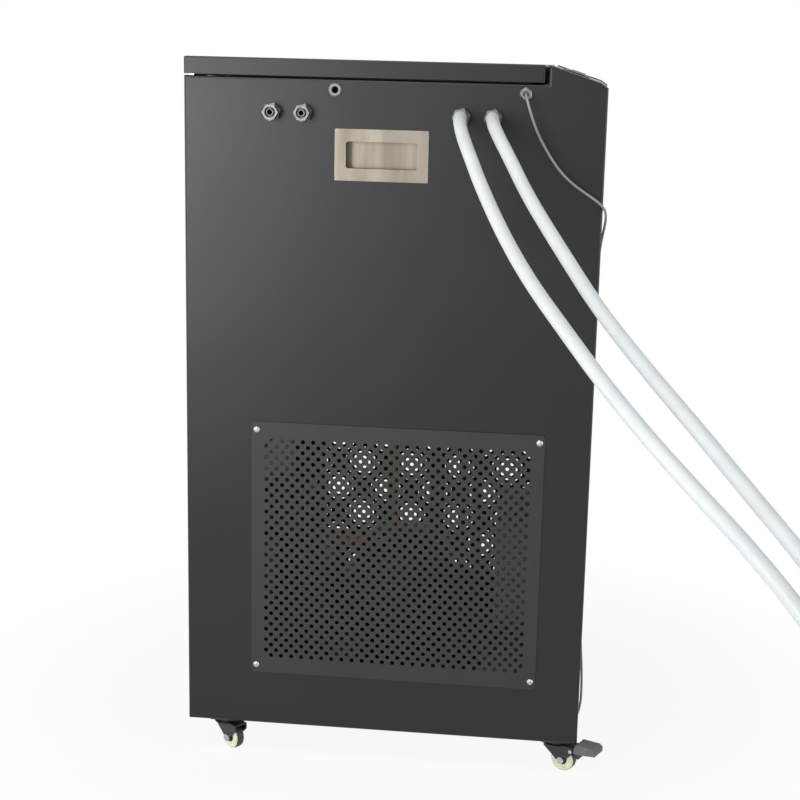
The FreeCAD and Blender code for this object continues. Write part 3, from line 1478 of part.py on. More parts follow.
def build_cords():
    """The two hoses and the probe's cable, with a line on the bends of each."""
    cords = {}
    routes = (
        ("hose_rear", REAR_HOSE_ROUTE, HOSE_DIAMETER),
        ("hose_front", FRONT_HOSE_ROUTE, HOSE_DIAMETER),
        ("probe_cable", PROBE_ROUTE, PROBE_CABLE),
    )
    for name, route, diameter in routes:
        solid, length, radii = tube(cord_points(route), diameter)
        expected = math.pi * diameter**2 / 4 * length
        print(
            f"{name}: length {length:.0f}, smallest bend {min(radii):.1f}, "
            f"volume / (section x length) {solid.Volume / expected:.4f}"
        )
        cords[name] = solid
    return cords


def footprint(parts):
    """The least and greatest corners of all the pieces together."""
    boxes = [shape.optimalBoundingBox(True, False) for shape in parts.values()]
    low = Vector(*[min(getattr(b, side) for b in boxes) for side in ("XMin", "YMin", "ZMin")])
    high = Vector(*[max(getattr(b, side) for b in boxes) for side in ("XMax", "YMax", "ZMax")])
    return low, high


def main():
    """Builds, centres and writes every piece."""
    os.makedirs("parts", exist_ok=True)
    parts = build()
    low, high = footprint(parts)
    shift = Vector(-(low.x + high.x) / 2, -(low.y + high.y) / 2, 0)
    print(f"box {low} to {high}, moved by {shift}")
    parts.update(build_cords())
    for name, shape in parts.items():
        shape.translate(shift)
        if not shape.isValid() or shape.Volume <= 0:
            print(f"{name}: not a valid solid")
        shape.exportStep(f"parts/{name}.step")
    print(f"{len(parts)} pieces written")
    hinge = Vector(-HINGE_BACKSET, 0, HINGE_HEIGHT) + shift
    print(f"lid hinge {hinge}")
    print(f"fan {fan_axis(FAN_BACK + FAN_WIDTH / 2) + shift}")
    print(f"rocker {rocker_pivot() + shift}")
    for name, x, side, heading, braked in CASTORS:
        spot = Vector(x, side * CASTOR_SIDE, FORK_TOP) + shift
        turn = Rotation(UP, heading)
        axle = spot + turn.multVec(Vector(TRAIL, 0, AXLE_HEIGHT - FORK_TOP))
        print(f"castor {name} pivot {spot} axle {axle} axis {turn.multVec(ACROSS)}")
        if braked:
            x, z = PEDAL_PIVOT
            pin = spot + turn.multVec(Vector(x, 0, z - FORK_TOP))
            print(f"brake {name} pin {pin} axis {turn.multVec(ACROSS)}")


main()
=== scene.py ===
# %% [markdown]
# # A glycol chiller on castors
# A glycol chiller is a black sheet-metal cabinet that cools a bath of liquid and pumps it through
# hoses. Its construction comes as a finished frame of solids, so this lesson dresses it: the camera,
# a real finish for each surface, screens pierced with round holes, soft hoses, and light.
# Everything is in metres, with Z up, and the frame's solids are never moved.

import json
import math

import bmesh
import bpy
from mathutils import Matrix, Vector


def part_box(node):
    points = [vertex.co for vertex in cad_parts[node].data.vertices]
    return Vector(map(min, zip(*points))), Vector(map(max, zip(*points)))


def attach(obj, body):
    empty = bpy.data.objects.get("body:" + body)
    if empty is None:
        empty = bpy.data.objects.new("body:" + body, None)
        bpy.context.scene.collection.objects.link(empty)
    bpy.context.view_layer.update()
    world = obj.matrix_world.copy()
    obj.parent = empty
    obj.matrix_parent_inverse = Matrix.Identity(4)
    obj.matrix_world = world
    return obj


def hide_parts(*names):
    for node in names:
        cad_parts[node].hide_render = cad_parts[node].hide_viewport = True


MM = 0.001
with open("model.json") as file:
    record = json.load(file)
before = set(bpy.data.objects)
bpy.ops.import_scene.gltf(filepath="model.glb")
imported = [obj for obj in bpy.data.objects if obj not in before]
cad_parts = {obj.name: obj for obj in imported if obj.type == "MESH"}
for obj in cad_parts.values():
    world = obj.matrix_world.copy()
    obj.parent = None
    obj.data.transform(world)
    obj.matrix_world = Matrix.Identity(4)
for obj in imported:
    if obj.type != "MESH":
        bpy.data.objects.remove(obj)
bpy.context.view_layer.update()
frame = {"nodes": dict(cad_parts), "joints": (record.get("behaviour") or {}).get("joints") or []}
nodes = frame["nodes"]
scene = bpy.context.scene
scene.view_settings.view_transform = "Standard"

# %% [markdown]
# Every place in this lesson is measured along the cabinet's port side, the one that the photograph
# shows. The side's own solid tells where that is, so `at` only has to turn millimetres along the
# side, out of it and above the floor into a point. Typing world coordinates would work too, but
# they would have to be worked out again whenever the cabinet's size changed.

# %% Places along the side
side_low, side_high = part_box("port_side_panel")
REAR = side_low[0]
FACE = side_low[1]


def at(along, out, up):
    """The point so many millimetres along the port side, out of it and above the floor."""
    return Vector((REAR + along * MM, FACE - out * MM, up * MM))


print("the side starts at x", round(REAR, 4), "and its face is at y", round(FACE, 4))

# %% [markdown]
# The camera could be placed by eye, but the photograph gives it exactly: the cabinet's upright and
# depth edges meet in vanishing points, which give tilt and turn, and the side's height gives the
# distance. It stood as high as the lid, a little right of the middle, tilted slightly down.

# %% Camera
CAMERA_PLACE = (491, 1840, 883)
CAMERA_RIGHT = (0.99373, 0.10907, 0.02474)
CAMERA_UP = (-0.04725, 0.20901, 0.97680)
CAMERA_BACK = (0.10136, -0.97184, 0.21283)
SENSOR_WIDTH = 36.0
FOCAL_LENGTH = 69.885
SIDEWAYS_SHIFT = -0.0325
camera_data = bpy.data.cameras.new("camera")
camera_data.sensor_width = SENSOR_WIDTH
camera_data.lens = FOCAL_LENGTH
camera_data.shift_x = SIDEWAYS_SHIFT
camera = bpy.data.objects.new("camera", camera_data)
scene.collection.objects.link(camera)
turn = Matrix((CAMERA_RIGHT, CAMERA_UP, CAMERA_BACK)).transposed()
camera.matrix_world = Matrix.Translation(at(*CAMERA_PLACE)) @ turn.to_4x4()
scene.camera = camera
print("camera at", tuple(round(value, 3) for value in camera.location))

# %% [markdown]
# Real finishes are described in a maker's terms: a colour, how polished, how coarse. Nodes can say
# all of that. `linear` turns a colour as it looks on a screen into the numbers a renderer adds up.
# `add` makes any node with its settings and links, so a tree reads like a short list.

# %% Colour and node helpers


def linear(code):
    """A linear colour from a hexadecimal sRGB code."""
    values = [int(code[i:i + 2], 16) / 255 for i in (1, 3, 5)]
    curve = [v / 12.92 if v <= 0.04045 else ((v + 0.055) / 1.055) ** 2.4 for v in values]
    return (*curve, 1.0)


def add(tree, kind, values=None, **settings):
    """A node with its settings and inputs; an input given as a socket is linked."""
    node = tree.nodes.new(kind)
    for key, value in settings.items():
        setattr(node, key, value)
    for key, value in (values or {}).items():
        if isinstance(value, bpy.types.NodeSocket):
            tree.links.new(value, node.inputs[key])
        else:
            node.inputs[key].default_value = value
    return node


print("a mid grey is", round(linear("#808080")[0], 3), "in linear light")

# %% [markdown]
# Most surfaces share one build. A coarse pattern shifts the colour and the polish from place to
# place, as handling, rolling and oxide do. A fine one lifts the surface: orange peel in a coat, grit
# in a moulding, brush lines in steel. A bevel on the normals rounds the sheet's cut edges, which
# keeps them from looking knife-sharp. The patterns read object coordinates, so they need no UV map.

# %% One finish
MOTTLE_SPAN = (0.3, 0.7)
MOTTLE_DETAIL = 4.0
GRAIN_DETAIL = 2.0
BEVEL_SAMPLES = 4


def finish(name, colours, roughness, metallic=0.0, patch=60.0, grain=1.0, relief=0.0,
           stretch=(1, 1, 1), cells=False, edge=0.0, sockets=None):
    """A material from two colours, two roughnesses, and patch, grain and relief in millimetres."""
    material = bpy.data.materials.new(name)
    material.use_nodes = True
    tree = material.node_tree
    shader = tree.nodes["Principled BSDF"]
    shader.inputs["Metallic"].default_value = metallic
    for label, value in (sockets or {}).items():
        shader.inputs[label].default_value = value
    place = add(tree, "ShaderNodeTexCoord").outputs["Object"]
    place = add(tree, "ShaderNodeMapping", {"Vector": place, "Scale": stretch}).outputs["Vector"]
    if cells:
        broad = add(tree, "ShaderNodeTexVoronoi", {"Vector": place, "Scale": 1 / (patch * MM)})
        broad = add(tree, "ShaderNodeSeparateColor", {"Color": broad.outputs["Color"]}).outputs["Red"]
    else:
        values = {"Vector": place, "Scale": 1 / (patch * MM), "Detail": MOTTLE_DETAIL}
        broad = add(tree, "ShaderNodeTexNoise", values).outputs["Fac"]
        values = {"Value": broad, "From Min": MOTTLE_SPAN[0], "From Max": MOTTLE_SPAN[1]}
        broad = add(tree, "ShaderNodeMapRange", values).outputs["Result"]
    mix = add(tree, "ShaderNodeMix", {"Factor": broad}, data_type="RGBA")
    mix.inputs["A"].default_value = linear(colours[0])
    mix.inputs["B"].default_value = linear(colours[1])
    tree.links.new(mix.outputs["Result"], shader.inputs["Base Color"])
    values = {"Value": broad, "To Min": roughness[0], "To Max": roughness[1]}
    polish = add(tree, "ShaderNodeMapRange", values).outputs["Result"]
    tree.links.new(polish, shader.inputs["Roughness"])
    normal = None
    if edge:
        rounded = add(tree, "ShaderNodeBevel", {"Radius": edge * MM}, samples=BEVEL_SAMPLES)
        normal = rounded.outputs["Normal"]
    if relief:
        values = {"Vector": place, "Scale": 1 / (grain * MM), "Detail": GRAIN_DETAIL}
        fine = add(tree, "ShaderNodeTexNoise", values).outputs["Fac"]
        values = {"Height": fine, "Distance": relief * MM}
        if normal:
            values["Normal"] = normal
        normal = add(tree, "ShaderNodeBump", values).outputs["Normal"]
    if normal:
        tree.links.new(normal, shader.inputs["Normal"])
    return material


print("the mottle spreads the noise from", MOTTLE_SPAN[0], "to", MOTTLE_SPAN[1], "over the whole range")

# %% [markdown]
# The cabinet is folded sheet steel, sprayed with epoxy powder and baked. The powder melts into a
# tough skin with a faint orange peel, which blurs a window's reflection into a broad soft sheen.
# The screens are the same coat laid thicker, because powder builds up round the holes' edges.

# %% Powder coats
powder = finish(
    "powder-coated sheet steel, satin black", ("#101415", "#121618"), (0.31, 0.35),
    patch=120, grain=2.2, relief=0.012, edge=0.6, sockets={"Specular IOR Level": 0.38},
)
screen = finish(
    "powder-coated perforated steel, thick satin black", ("#1b1d1d", "#1f2020"), (0.4, 0.46),
    patch=60, grain=1.6, relief=0.015, sockets={"Specular IOR Level": 0.45},
)
print("coats:", powder.name, "and", screen.name)

# %% [markdown]
# Bare metals keep their own colour in every reflection, so they are fully metallic and differ in
# tint and polish. Galvanised sheet shows its spangle, the frozen crystals of zinc, which a cell
# pattern draws. Brushed stainless is scratched one way, so its grain is drawn out: upright on the
# handles, along the cabinet in the tub. Copper tube comes bright and dulls in brown patches.

# %% Metals
galvanised = finish(
    "hot-dip galvanised sheet, dull zinc with a spangle", ("#8d9191", "#a9adad"), (0.38, 0.55),
    metallic=1.0, patch=9, cells=True, edge=0.3,
)
stainless = finish(
    "brushed stainless steel, warm satin", ("#8c867b", "#6f675c"), (0.3, 0.4),
    metallic=1.0, patch=22, grain=0.9, relief=0.01, stretch=(1, 1, 0.12), edge=0.5,
)
tub_steel = finish(
    "deep-drawn stainless steel, matte", ("#b9b9b4", "#a6a7a3"), (0.3, 0.4),
    metallic=1.0, patch=50, grain=1.5, relief=0.01, stretch=(0.1, 1, 1),
)
zinc_plate = finish(
    "zinc-plated steel, pale and slightly blue", ("#b9bcbd", "#a2a5a5"), (0.28, 0.4),
    metallic=1.0, patch=6, grain=0.8, relief=0.004, edge=0.2,
)
nickel = finish(
    "nickel-plated brass, satin", ("#807e77", "#6c6a64"), (0.38, 0.48),
    metallic=1.0, patch=7, grain=0.8, relief=0.004, edge=0.3,
)
copper = finish(
    "drawn copper tube, oxidised in brown patches", ("#b5683f", "#7a4127"), (0.3, 0.5),
    metallic=1.0, patch=24, grain=1.2, relief=0.006,
)
fin_stock = finish(
    "mill-finish aluminium fin stock, dusty", ("#7e8080", "#5f6161"), (0.45, 0.6),
    metallic=1.0, patch=30, grain=1.0, relief=0.01,
)
bare_metals = (galvanised, stainless, tub_steel, zinc_plate, nickel, copper, fin_stock)
print(len(bare_metals), "bare metals")

# %% [markdown]
# The compressor and the motor wear stoved enamel, and the forks a thinner black paint. Moulded nylon
# is grained by its glass fibres, ABS comes smoother from a polished tool, and rubber is dull because
# its surface is full of tiny pits. None of them is metallic: their colour lies under a clear gloss.

# %% Paints, plastics and rubbers
enamel = finish(
    "stoved enamel on pressed steel, black", ("#141517", "#1a1b1d"), (0.3, 0.42),
    patch=40, grain=3.0, relief=0.02, edge=0.4,
)
fork_paint = finish(
    "electro-dipped black paint on pressed steel", ("#111214", "#191a1c"), (0.34, 0.46),
    patch=12, grain=0.8, relief=0.008, edge=0.3,
)
nylon = finish(
    "glass-filled nylon, moulded, charcoal", ("#1c1d1f", "#26272a"), (0.46, 0.58),
    patch=10, grain=0.5, relief=0.015, edge=0.4,
)
bezel = finish(
    "ABS, moulded in a polished tool, black", ("#121315", "#161719"), (0.28, 0.34),
    patch=15, grain=0.4, relief=0.003, edge=0.3,
)
grey_abs = finish(
    "ABS, moulded with a fine grain, mid grey", ("#7b8080", "#858a8a"), (0.48, 0.56),
    patch=25, grain=0.5, relief=0.01, edge=0.3,
)
smoked = finish(
    "smoked acrylic window over a display", ("#0a0506", "#0d0708"), (0.08, 0.12),
    patch=10, sockets={"IOR": 1.49, "Coat Weight": 0.4},
)
nitrile = finish(
    "nitrile rubber, black and dull", ("#151515", "#1c1c1b"), (0.58, 0.7),
    patch=12, grain=0.6, relief=0.02,
)
silicone = finish(
    "silicone rubber, light grey", ("#8d8f8a", "#838580"), (0.42, 0.52),
    patch=5, grain=0.5, relief=0.006, sockets={
        "Subsurface Weight": 0.1, "Subsurface Scale": 0.001, "Subsurface Radius": (1, 1, 1),
    },
)
foam = finish(
    "rigid polyurethane foam, cut and yellowing", ("#d6c992", "#c2b27c"), (0.85, 0.95),
    patch=14, grain=0.9, relief=0.3,
)
# The lid's foam is black nitrile, and its black also stands in for the shade in the gap under the lid:
# painted shade.
lid_foam_gap_shade = finish(
    "closed-cell nitrile foam, black, with a skin", ("#191a1a", "#222322"), (0.7, 0.85),
    patch=10, grain=0.8, relief=0.1,
)
tyre = finish(
    "cast polyurethane tyre, cream", ("#dedcc0", "#cfccab"), (0.38, 0.5),
    patch=8, grain=0.8, relief=0.01, sockets={
        "Subsurface Weight": 0.15, "Subsurface Scale": 0.002, "Subsurface Radius": (1, 1, 0.8),
    },
)
# The tread's dark grey-brown is painted shade: it darkens the side of the tyre turned from the light.
tread_shade = finish(
    "thermoplastic rubber tread, dark grey-brown", ("#37322e", "#2b2725"), (0.45, 0.6),
    patch=6, grain=0.6, relief=0.02,
)
pad_rubber = finish(
    "ribbed rubber on a foot pedal, scuffed grey", ("#4f5051", "#626364"), (0.55, 0.7),
    patch=9, grain=0.7, relief=0.03, edge=0.8,
)
print("the tyre's cream in linear light is", [round(v, 2) for v in linear("#dedcc0")[:3]])

# %% [markdown]
# The hoses are milky polyethylene: light goes a little way in and comes out again, so their shaded
# side glows. The probe's lead has a dull grey PVC jacket. Both are extruded, so their faint lines
# follow the hose, but at this scale only an even, soft patchiness can be seen.

# %% Extruded plastics
milky = finish(
    "extruded polyethylene tube, milky white", ("#c9cccd", "#d0d3d4"), (0.42, 0.5),
    patch=30, grain=3.0, relief=0.002,
    sockets={
        "IOR": 1.5, "Subsurface Weight": 0.2, "Subsurface Scale": 0.003, "Subsurface Radius": (1, 1, 1),
    },
)
jacket = finish(
    "extruded PVC jacket, mid grey", ("#7f8184", "#8b8d90"), (0.42, 0.5),
    patch=20, grain=1.0, relief=0.004,
)
print("hose and lead:", milky.name, "and", jacket.name)

# %% [markdown]
# Each solid of the frame is one real piece, so it takes one finish as a whole. A table from finish
# to pieces keeps that in one place, and what the table forgot is printed at the end.

# %% Give each piece its finish
BODIES = {
    powder: (
        "port_side_panel", "plain_side_panel", "rear_panel", "front_panel", "control_panel",
        # The top deck is black, and its strip seen through the lid's gap also stands for the shade
        # there, as painted shade.
        "lid_shell", "top_deck",
    ),
    screen: ("port_side_grille", "plain_side_grille"),
    galvanised: ("base_pan", "fan_shroud"),
    stainless: ("port_side_handle", "plain_side_handle"),
    tub_steel: ("tank", "probe_tip"),
    zinc_plate: ("hinge_fixed_halves", "hinge_moving_halves", "grille_screws"),
    nickel: (
        "fitting_locknuts", "hose_fitting_1", "hose_fitting_2", "hose_fitting_3",
        "hose_fitting_4", "probe_gland",
    ),
    copper: ("evaporator_coil", "refrigerant_pipes"),
    fin_stock: ("condenser",),
    enamel: ("fan_motor", "compressor"),
    fork_paint: tuple(name for name in nodes if name.startswith("castor_fork")) + ("castor_plates",),
    tyre: tuple(name for name in nodes if name.startswith("castor_wheel")),
    nylon: (
        "fan_blades", "circulation_pumps", "power_inlet", "power_rocker",
        "castor_brake_front_port", "castor_brake_front_plain",
    ),
    bezel: ("controller_1", "controller_2"),
    grey_abs: ("electrical_box", "key_1a", "key_1b", "key_2a", "key_2b"),
    nitrile: ("compressor_mounts", "suction_line", "inner_hoses"),
    silicone: ("probe_grommet",),
    foam: ("tank_insulation",),
    lid_foam_gap_shade: ("lid_insulation",),
    milky: ("hose_rear", "hose_front"),
    jacket: ("probe_cable",),
}
for material, names in BODIES.items():
    for name in names:
        nodes[name].data.materials.clear()
        nodes[name].data.materials.append(material)
bare = [name for name, piece in nodes.items() if piece.data.materials[0] not in BODIES]
print(len(BODIES), "finishes; pieces without one:", bare)

# %% [markdown]
# A few pieces show two materials, because the real piece is an assembly pressed together: a wheel
# has a dark bush on its cream body, a fork carries plated nuts and rivets, a pedal wears a rubber
# pad, and a controller has a window. The wheel's tread also gets a dark second material, which is
# painted shade on the side of the tyre turned from the light. Splitting the solid would change the
# frame, so a second material slot goes to the faces that pass a test. A joint tells where its axle
# is, which makes most tests a distance from that line, in millimetres.

# %% Second finishes by face
CORNERS = ("rear_port", "front_port", "rear_plain", "front_plain")
BRAKED = ("front_port", "front_plain")
BUSH_RADIUS = 7.4
TREAD_RADIUS = 15.3
NUT_RADIUS = 4.7
RIVET_RADIUS = 2.7
CHEEK = 9.5
PAD_HEIGHT = 30.0
joints = {joint["child"]: joint for joint in frame["joints"]}


def tint(node, material, test):
    """Gives the faces whose middle and normal pass the test a second material, and counts them."""
    data = nodes[node].data
    data.materials.append(material)
    last = len(data.materials) - 1
    chosen = [face for face in data.polygons if test(face.center, face.normal)]
    for face in chosen:
        face.material_index = last
    return len(chosen)


def from_axle(child):
    """A function that gives a point's distance from a joint's axle, and along it, in millimetres."""
    start = Vector(joints[child]["pos_m"])
    axis = Vector(joints[child]["axis"]).normalized()

    def measure(point):
        along = (point - start).dot(axis)
        return (point - start - axis * along).length / MM, abs(along) / MM

    return measure


def round_axle(child, radius):
    """A test for faces of plated metal: near the axle and outside the fork's cheeks."""
    measure = from_axle(child)
    return lambda place, _: measure(place)[0] < radius and measure(place)[1] > CHEEK


for corner in CORNERS:
    wheel, fork = "castor_wheel_" + corner, "castor_fork_" + corner
    measure = from_axle("wheel_" + corner)
    bush = tint(wheel, nitrile, lambda place, _: measure(place)[0] < BUSH_RADIUS)
    # The tread faces take the painted shade.
    tread_shade_faces = tint(wheel, tread_shade, lambda place, _: measure(place)[0] > TREAD_RADIUS)
    nuts = tint(fork, zinc_plate, round_axle("wheel_" + corner, NUT_RADIUS))
    print(corner, "bush faces", bush, "tread faces", tread_shade_faces, "nut faces", nuts)
for corner in BRAKED:
    rivets = tint("castor_fork_" + corner, zinc_plate, round_axle("brake_" + corner, RIVET_RADIUS))
    pad = tint("castor_brake_" + corner, pad_rubber, lambda place, _: place.z > PAD_HEIGHT * MM)
    print(corner, "rivet faces", rivets, "pad faces", pad)

# %% [markdown]
# A controller's window lies a little below its bezel. The keys press straight into the slope, so
# their joint's axis, turned round, is the direction that the window faces.

# %% Windows of the controllers
WINDOW_BAND = (0.2, 1.4)
ALIGNED = 0.99
facing = -Vector(joints["key_1a"]["axis"]).normalized()
for node in ("controller_1", "controller_2"):
    heights = [vertex.co.dot(facing) for vertex in nodes[node].data.vertices]
    top = max(heights)
    count = tint(
        node, smoked,
        lambda place, normal: normal.dot(facing) > ALIGNED
        and WINDOW_BAND[0] < (top - place.dot(facing)) / MM < WINDOW_BAND[1],
    )
    print(node, "window faces", count)

# %% [markdown]
# A hose and a lead are lengths of something flexible, so each is one smooth curve with a round
# section. The control points are the ones that the frame's own tube was laid along. A spline of
# order three passes near them without the kinks that straight runs would have. They are given one
# by one: out of the fitting, down under their own weight, and off along the floor.

# %% Routes of the hoses and the lead
REAR_HOSE = (
    (332.5, 16, 820.5),
    (334, 48, 817),
    (341.5, 82, 801.5),
    (354, 114, 779.5),
    (368, 148, 753.8),
    (397, 213, 709.5),
    (430, 282, 669.5),
    (466, 355, 636.5),
    (504, 425, 601),
    (546, 490, 565),
    (588, 545, 532),
    (630, 585, 498),
    (676, 618, 452),
    (720, 650, 392),
    (756, 682, 318),
    (780, 712, 238),
    (792, 740, 160),
    (792, 768, 98),
    (778, 792, 50),
    (748, 810, 20),
    (704, 820, 8.5),
    (650, 822, 7.5),
)
FRONT_HOSE = (
    (370, 16, 820.5),
    (372, 48, 817),
    (382, 82, 802),
    (398, 114, 779),
    (421, 157, 742.5),
    (464, 232, 689.5),
    (503, 312, 645),
    (549, 392, 603.5),
    (592, 468, 568),
    (636, 540, 529),
    (678, 590, 490),
    (721, 626, 441),
    (764, 658, 380),
    (800, 690, 306),
    (824, 722, 228),
    (836, 754, 150),
    (834, 790, 88),
    (818, 822, 44),
    (788, 846, 18),
    (744, 858, 8.5),
    (690, 860, 7.5),
    (636, 852, 7.5),
)
PROBE_LEAD = (
    (407, 2, 849),
    (407.5, 15, 848.2),
    (410.5, 25, 840),
    (415, 27, 826),
    (422, 20, 807),
    (431, 13, 790),
    (441, 9, 774),
    (452, 8, 760),
    (465, 8, 748),
    (480, 7.6, 738),
    (494, 7, 729),
    (504.5, 1.5, 719.5),
    (506.5, -10, 706),
    (503.8, -24, 689),
    (500.4, -36, 664),
    (498.8, -48, 628),
    (498.2, -58, 585),
    (498.8, -66, 537),
    (498.2, -73, 488),
    (498.8, -79, 438),
    (498.2, -85, 388),
    (498.8, -91, 338),
    (498.2, -96, 288),
    (498.8, -101, 238),
    (498.4, -106, 190),
    (500.4, -111, 146),
    (503.8, -114, 108),
    (505.4, -117, 74),
    (505, -120, 44),
    (498, -124, 20),
    (478, -130, 5),
    (445, -139, 2),
    (403, -150, 1.6),
    (361, -166, 2),
    (325, -190, 2.6),
    (287, -204, 3),
)
HOSE_DIAMETER = 15.0
LEAD_DIAMETER = 3.0
print(len(REAR_HOSE), len(FRONT_HOSE), len(PROBE_LEAD), "control points")

# %% [markdown]
# The order and the end-point setting come after the points, because a new spline with too few
# points would fall back to straight runs. Each curve then stands in for the frame's plain tube.

# %% Hoses and lead
ROUNDNESS = 6
STEPS = 12


def cord(name, points, diameter, material, node, **facts):
    """A round curve through millimetre points along, out of and above the side, put on the cabinet in
    place of the frame's tube.
    """
    data = bpy.data.curves.new(name, "CURVE")
    data.dimensions = "3D"
    data.bevel_depth = diameter / 2 * MM
    data.bevel_resolution = ROUNDNESS
    data.resolution_u = STEPS
    data.use_fill_caps = True
    spline = data.splines.new("NURBS")
    spline.points.add(len(points) - 1)
    for control, point in zip(spline.points, points):
        control.co = (*at(*point), 1.0)
    spline.order_u = 3
    spline.use_endpoint_u = True
    data.materials.append(material)
    piece = bpy.data.objects.new(name, data)
    scene.collection.objects.link(piece)
    bpy.context.view_layer.update()
    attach(piece, "cabinet")
    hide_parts(node)
    return piece


cord(
    "coolant_hose_rear", REAR_HOSE, HOSE_DIAMETER, milky, "hose_rear",
    far_end="bare", stiffness="stiff",
)
cord(
    "coolant_hose_front", FRONT_HOSE, HOSE_DIAMETER, milky, "hose_front",
    far_end="bare", stiffness="stiff",
)
cord(
    "probe_lead", PROBE_LEAD, LEAD_DIAMETER, jacket, "probe_cable",
    far_end="tool", stiffness="limp", with_pieces=(nodes["probe_tip"],),
)

# %% [markdown]
# Each screen is a plate punched with 1045 round holes in 41 staggered rows. Cutting 1045 cylinders
# out of a plate is slow and leaves long thin faces. A punched pattern is really one small tile set
# again and again: a diamond with a hole in it. Diamonds fill a staggered grid without gaps, so two
# grids of points, the long rows and the short rows between them, are all that is needed.

# %% Sizes of the screen
HOLE = 5.4
PITCH = 13.0
ROW = 14.1
LONG = (26, 20)
SHORT = (25, 21)
SHEET = 1.5
CORNER = 4.0
PLATE = (363.0, 329.0)
WELD = 0.02
print(LONG[0] * LONG[1] + SHORT[0] * SHORT[1], "holes in each screen")

# %% One tile
SIDES = 20


def tile_ring(tip, depth):
    """A ring of points on the hole's edge, or on the diamond round it, at one depth."""
    points = []
    for index in range(SIDES):
        angle = 2 * math.pi * index / SIDES
        across, upright = math.cos(angle), math.sin(angle)
        diamond = 1 / (abs(across) / (PITCH / 2) + abs(upright) / (ROW / 2))
        reach = diamond if tip else HOLE / 2
        points.append((across * reach * MM, depth * MM, upright * reach * MM))
    return points


def tile_mesh():
    """The front, the hole's wall and the back of one tile, as points and faces."""
    rings = [tile_ring(True, -SHEET), tile_ring(False, -SHEET), tile_ring(False, 0), tile_ring(True, 0)]
    points = [point for ring in rings for point in ring]
    faces = []
    for level in range(3):
        for index in range(SIDES):
            after = (index + 1) % SIDES
            low, high = level * SIDES, (level + 1) * SIDES
            faces.append((low + index, low + after, high + after, high + index))
    return points, faces


def mesh_piece(name, points, faces, material):
    """A flat-shaded mesh object from points and faces."""
    data = bpy.data.meshes.new(name)
    data.from_pydata([tuple(point) for point in points], [], faces)
    data.update()
    data.materials.append(material)
    data.shade_flat()
    piece = bpy.data.objects.new(name, data)
    scene.collection.objects.link(piece)
    return piece


tile_points, tile_faces = tile_mesh()
print("one tile has", len(tile_faces), "faces")

# %% [markdown]
# The node group takes the counts and pitches as named inputs. For each of the two grids it makes
# points, stands them upright and puts a tile on each. Realising turns the copies into real faces,
# merging closes the seams between tiles, and the last node lays on the coat.

# %% Perforation nodes
SOCKETS = (
    ("Columns", "NodeSocketInt"),
    ("Rows", "NodeSocketInt"),
    ("Pitch", "NodeSocketFloat"),
    ("Row pitch", "NodeSocketFloat"),
    ("Tile", "NodeSocketObject"),
    ("Coat", "NodeSocketMaterial"),
)


def point_grid(group, given, extra):
    """An upright grid of points; the second one has a column less and a row more."""
    spans = []
    counts = []
    for label, step, pitch in (("Columns", -extra, "Pitch"), ("Rows", extra, "Row pitch")):
        values = {0: given.outputs[label], 1: float(step)}
        count = add(group, "ShaderNodeMath", values, operation="ADD").outputs[0]
        gaps = add(group, "ShaderNodeMath", {0: count, 1: -1.0}, operation="ADD").outputs[0]
        values = {0: gaps, 1: given.outputs[pitch]}
        spans.append(add(group, "ShaderNodeMath", values, operation="MULTIPLY").outputs[0])
        counts.append(count)
    values = {"Size X": spans[0], "Size Y": spans[1], "Vertices X": counts[0], "Vertices Y": counts[1]}
    grid = add(group, "GeometryNodeMeshGrid", values).outputs["Mesh"]
    values = {"Geometry": grid, "Rotation": (math.pi / 2, 0, 0)}
    return add(group, "GeometryNodeTransform", values).outputs["Geometry"]


def perforation_group():
    """A node group that sets the tile on the long and the short rows."""
    group = bpy.data.node_groups.new("perforation", "GeometryNodeTree")
    for label, kind in SOCKETS:
        group.interface.new_socket(label, in_out="INPUT", socket_type=kind)
    group.interface.new_socket("Geometry", in_out="OUTPUT", socket_type="NodeSocketGeometry")
    given = add(group, "NodeGroupInput")
    tile = add(group, "GeometryNodeObjectInfo", {"Object": given.outputs["Tile"]}).outputs["Geometry"]
    joined = add(group, "GeometryNodeJoinGeometry")
    for extra in (0, 1):
        values = {"Points": point_grid(group, given, extra), "Instance": tile}
        spread = add(group, "GeometryNodeInstanceOnPoints", values)
        group.links.new(spread.outputs["Instances"], joined.inputs["Geometry"])
    real = add(group, "GeometryNodeRealizeInstances", {"Geometry": joined.outputs["Geometry"]})
    values = {"Geometry": real.outputs["Geometry"], "Distance": WELD * MM}
    merged = add(group, "GeometryNodeMergeByDistance", values)
    values = {"Geometry": merged.outputs["Geometry"], "Material": given.outputs["Coat"]}
    coat = add(group, "GeometryNodeSetMaterial", values)
    add(group, "NodeGroupOutput", {"Geometry": coat.outputs["Geometry"]})
    return group


def perforated(name):
    """The tiled field about the origin, as a plain mesh."""
    tile = mesh_piece(name + "_tile", tile_points, tile_faces, screen)
    host = mesh_piece(name, [(0, 0, 0)], [], screen)
    group = perforation_group()
    modifier = host.modifiers.new("perforation", "NODES")
    modifier.node_group = group
    chosen = {
        "Columns": LONG[0], "Rows": LONG[1], "Pitch": PITCH * MM, "Row pitch": ROW * MM,
        "Tile": tile, "Coat": screen,
    }
    for socket in group.interface.items_tree:
        if socket.in_out == "INPUT":
            modifier[socket.identifier] = chosen[socket.name]
    evaluated = host.evaluated_get(bpy.context.evaluated_depsgraph_get())
    mesh = bpy.data.meshes.new_from_object(evaluated)
    host.modifiers.remove(modifier)
    host.data = mesh
    bpy.data.objects.remove(tile)
    return host


field = perforated("perforated_field")
print("the field has", len(field.data.polygons), "faces")

# %% [markdown]
# Round the field lies the plate's plain margin. Its outer edge is a rectangle with rounded corners.
# Its inner edge has to meet the outermost tiles tip by tip, so it is a zigzag worked out from the
# same pitches. Filling between the two outlines gives the front and the back, and the outer edge
# gets a wall as thick as the sheet.

# %% The plate's margin


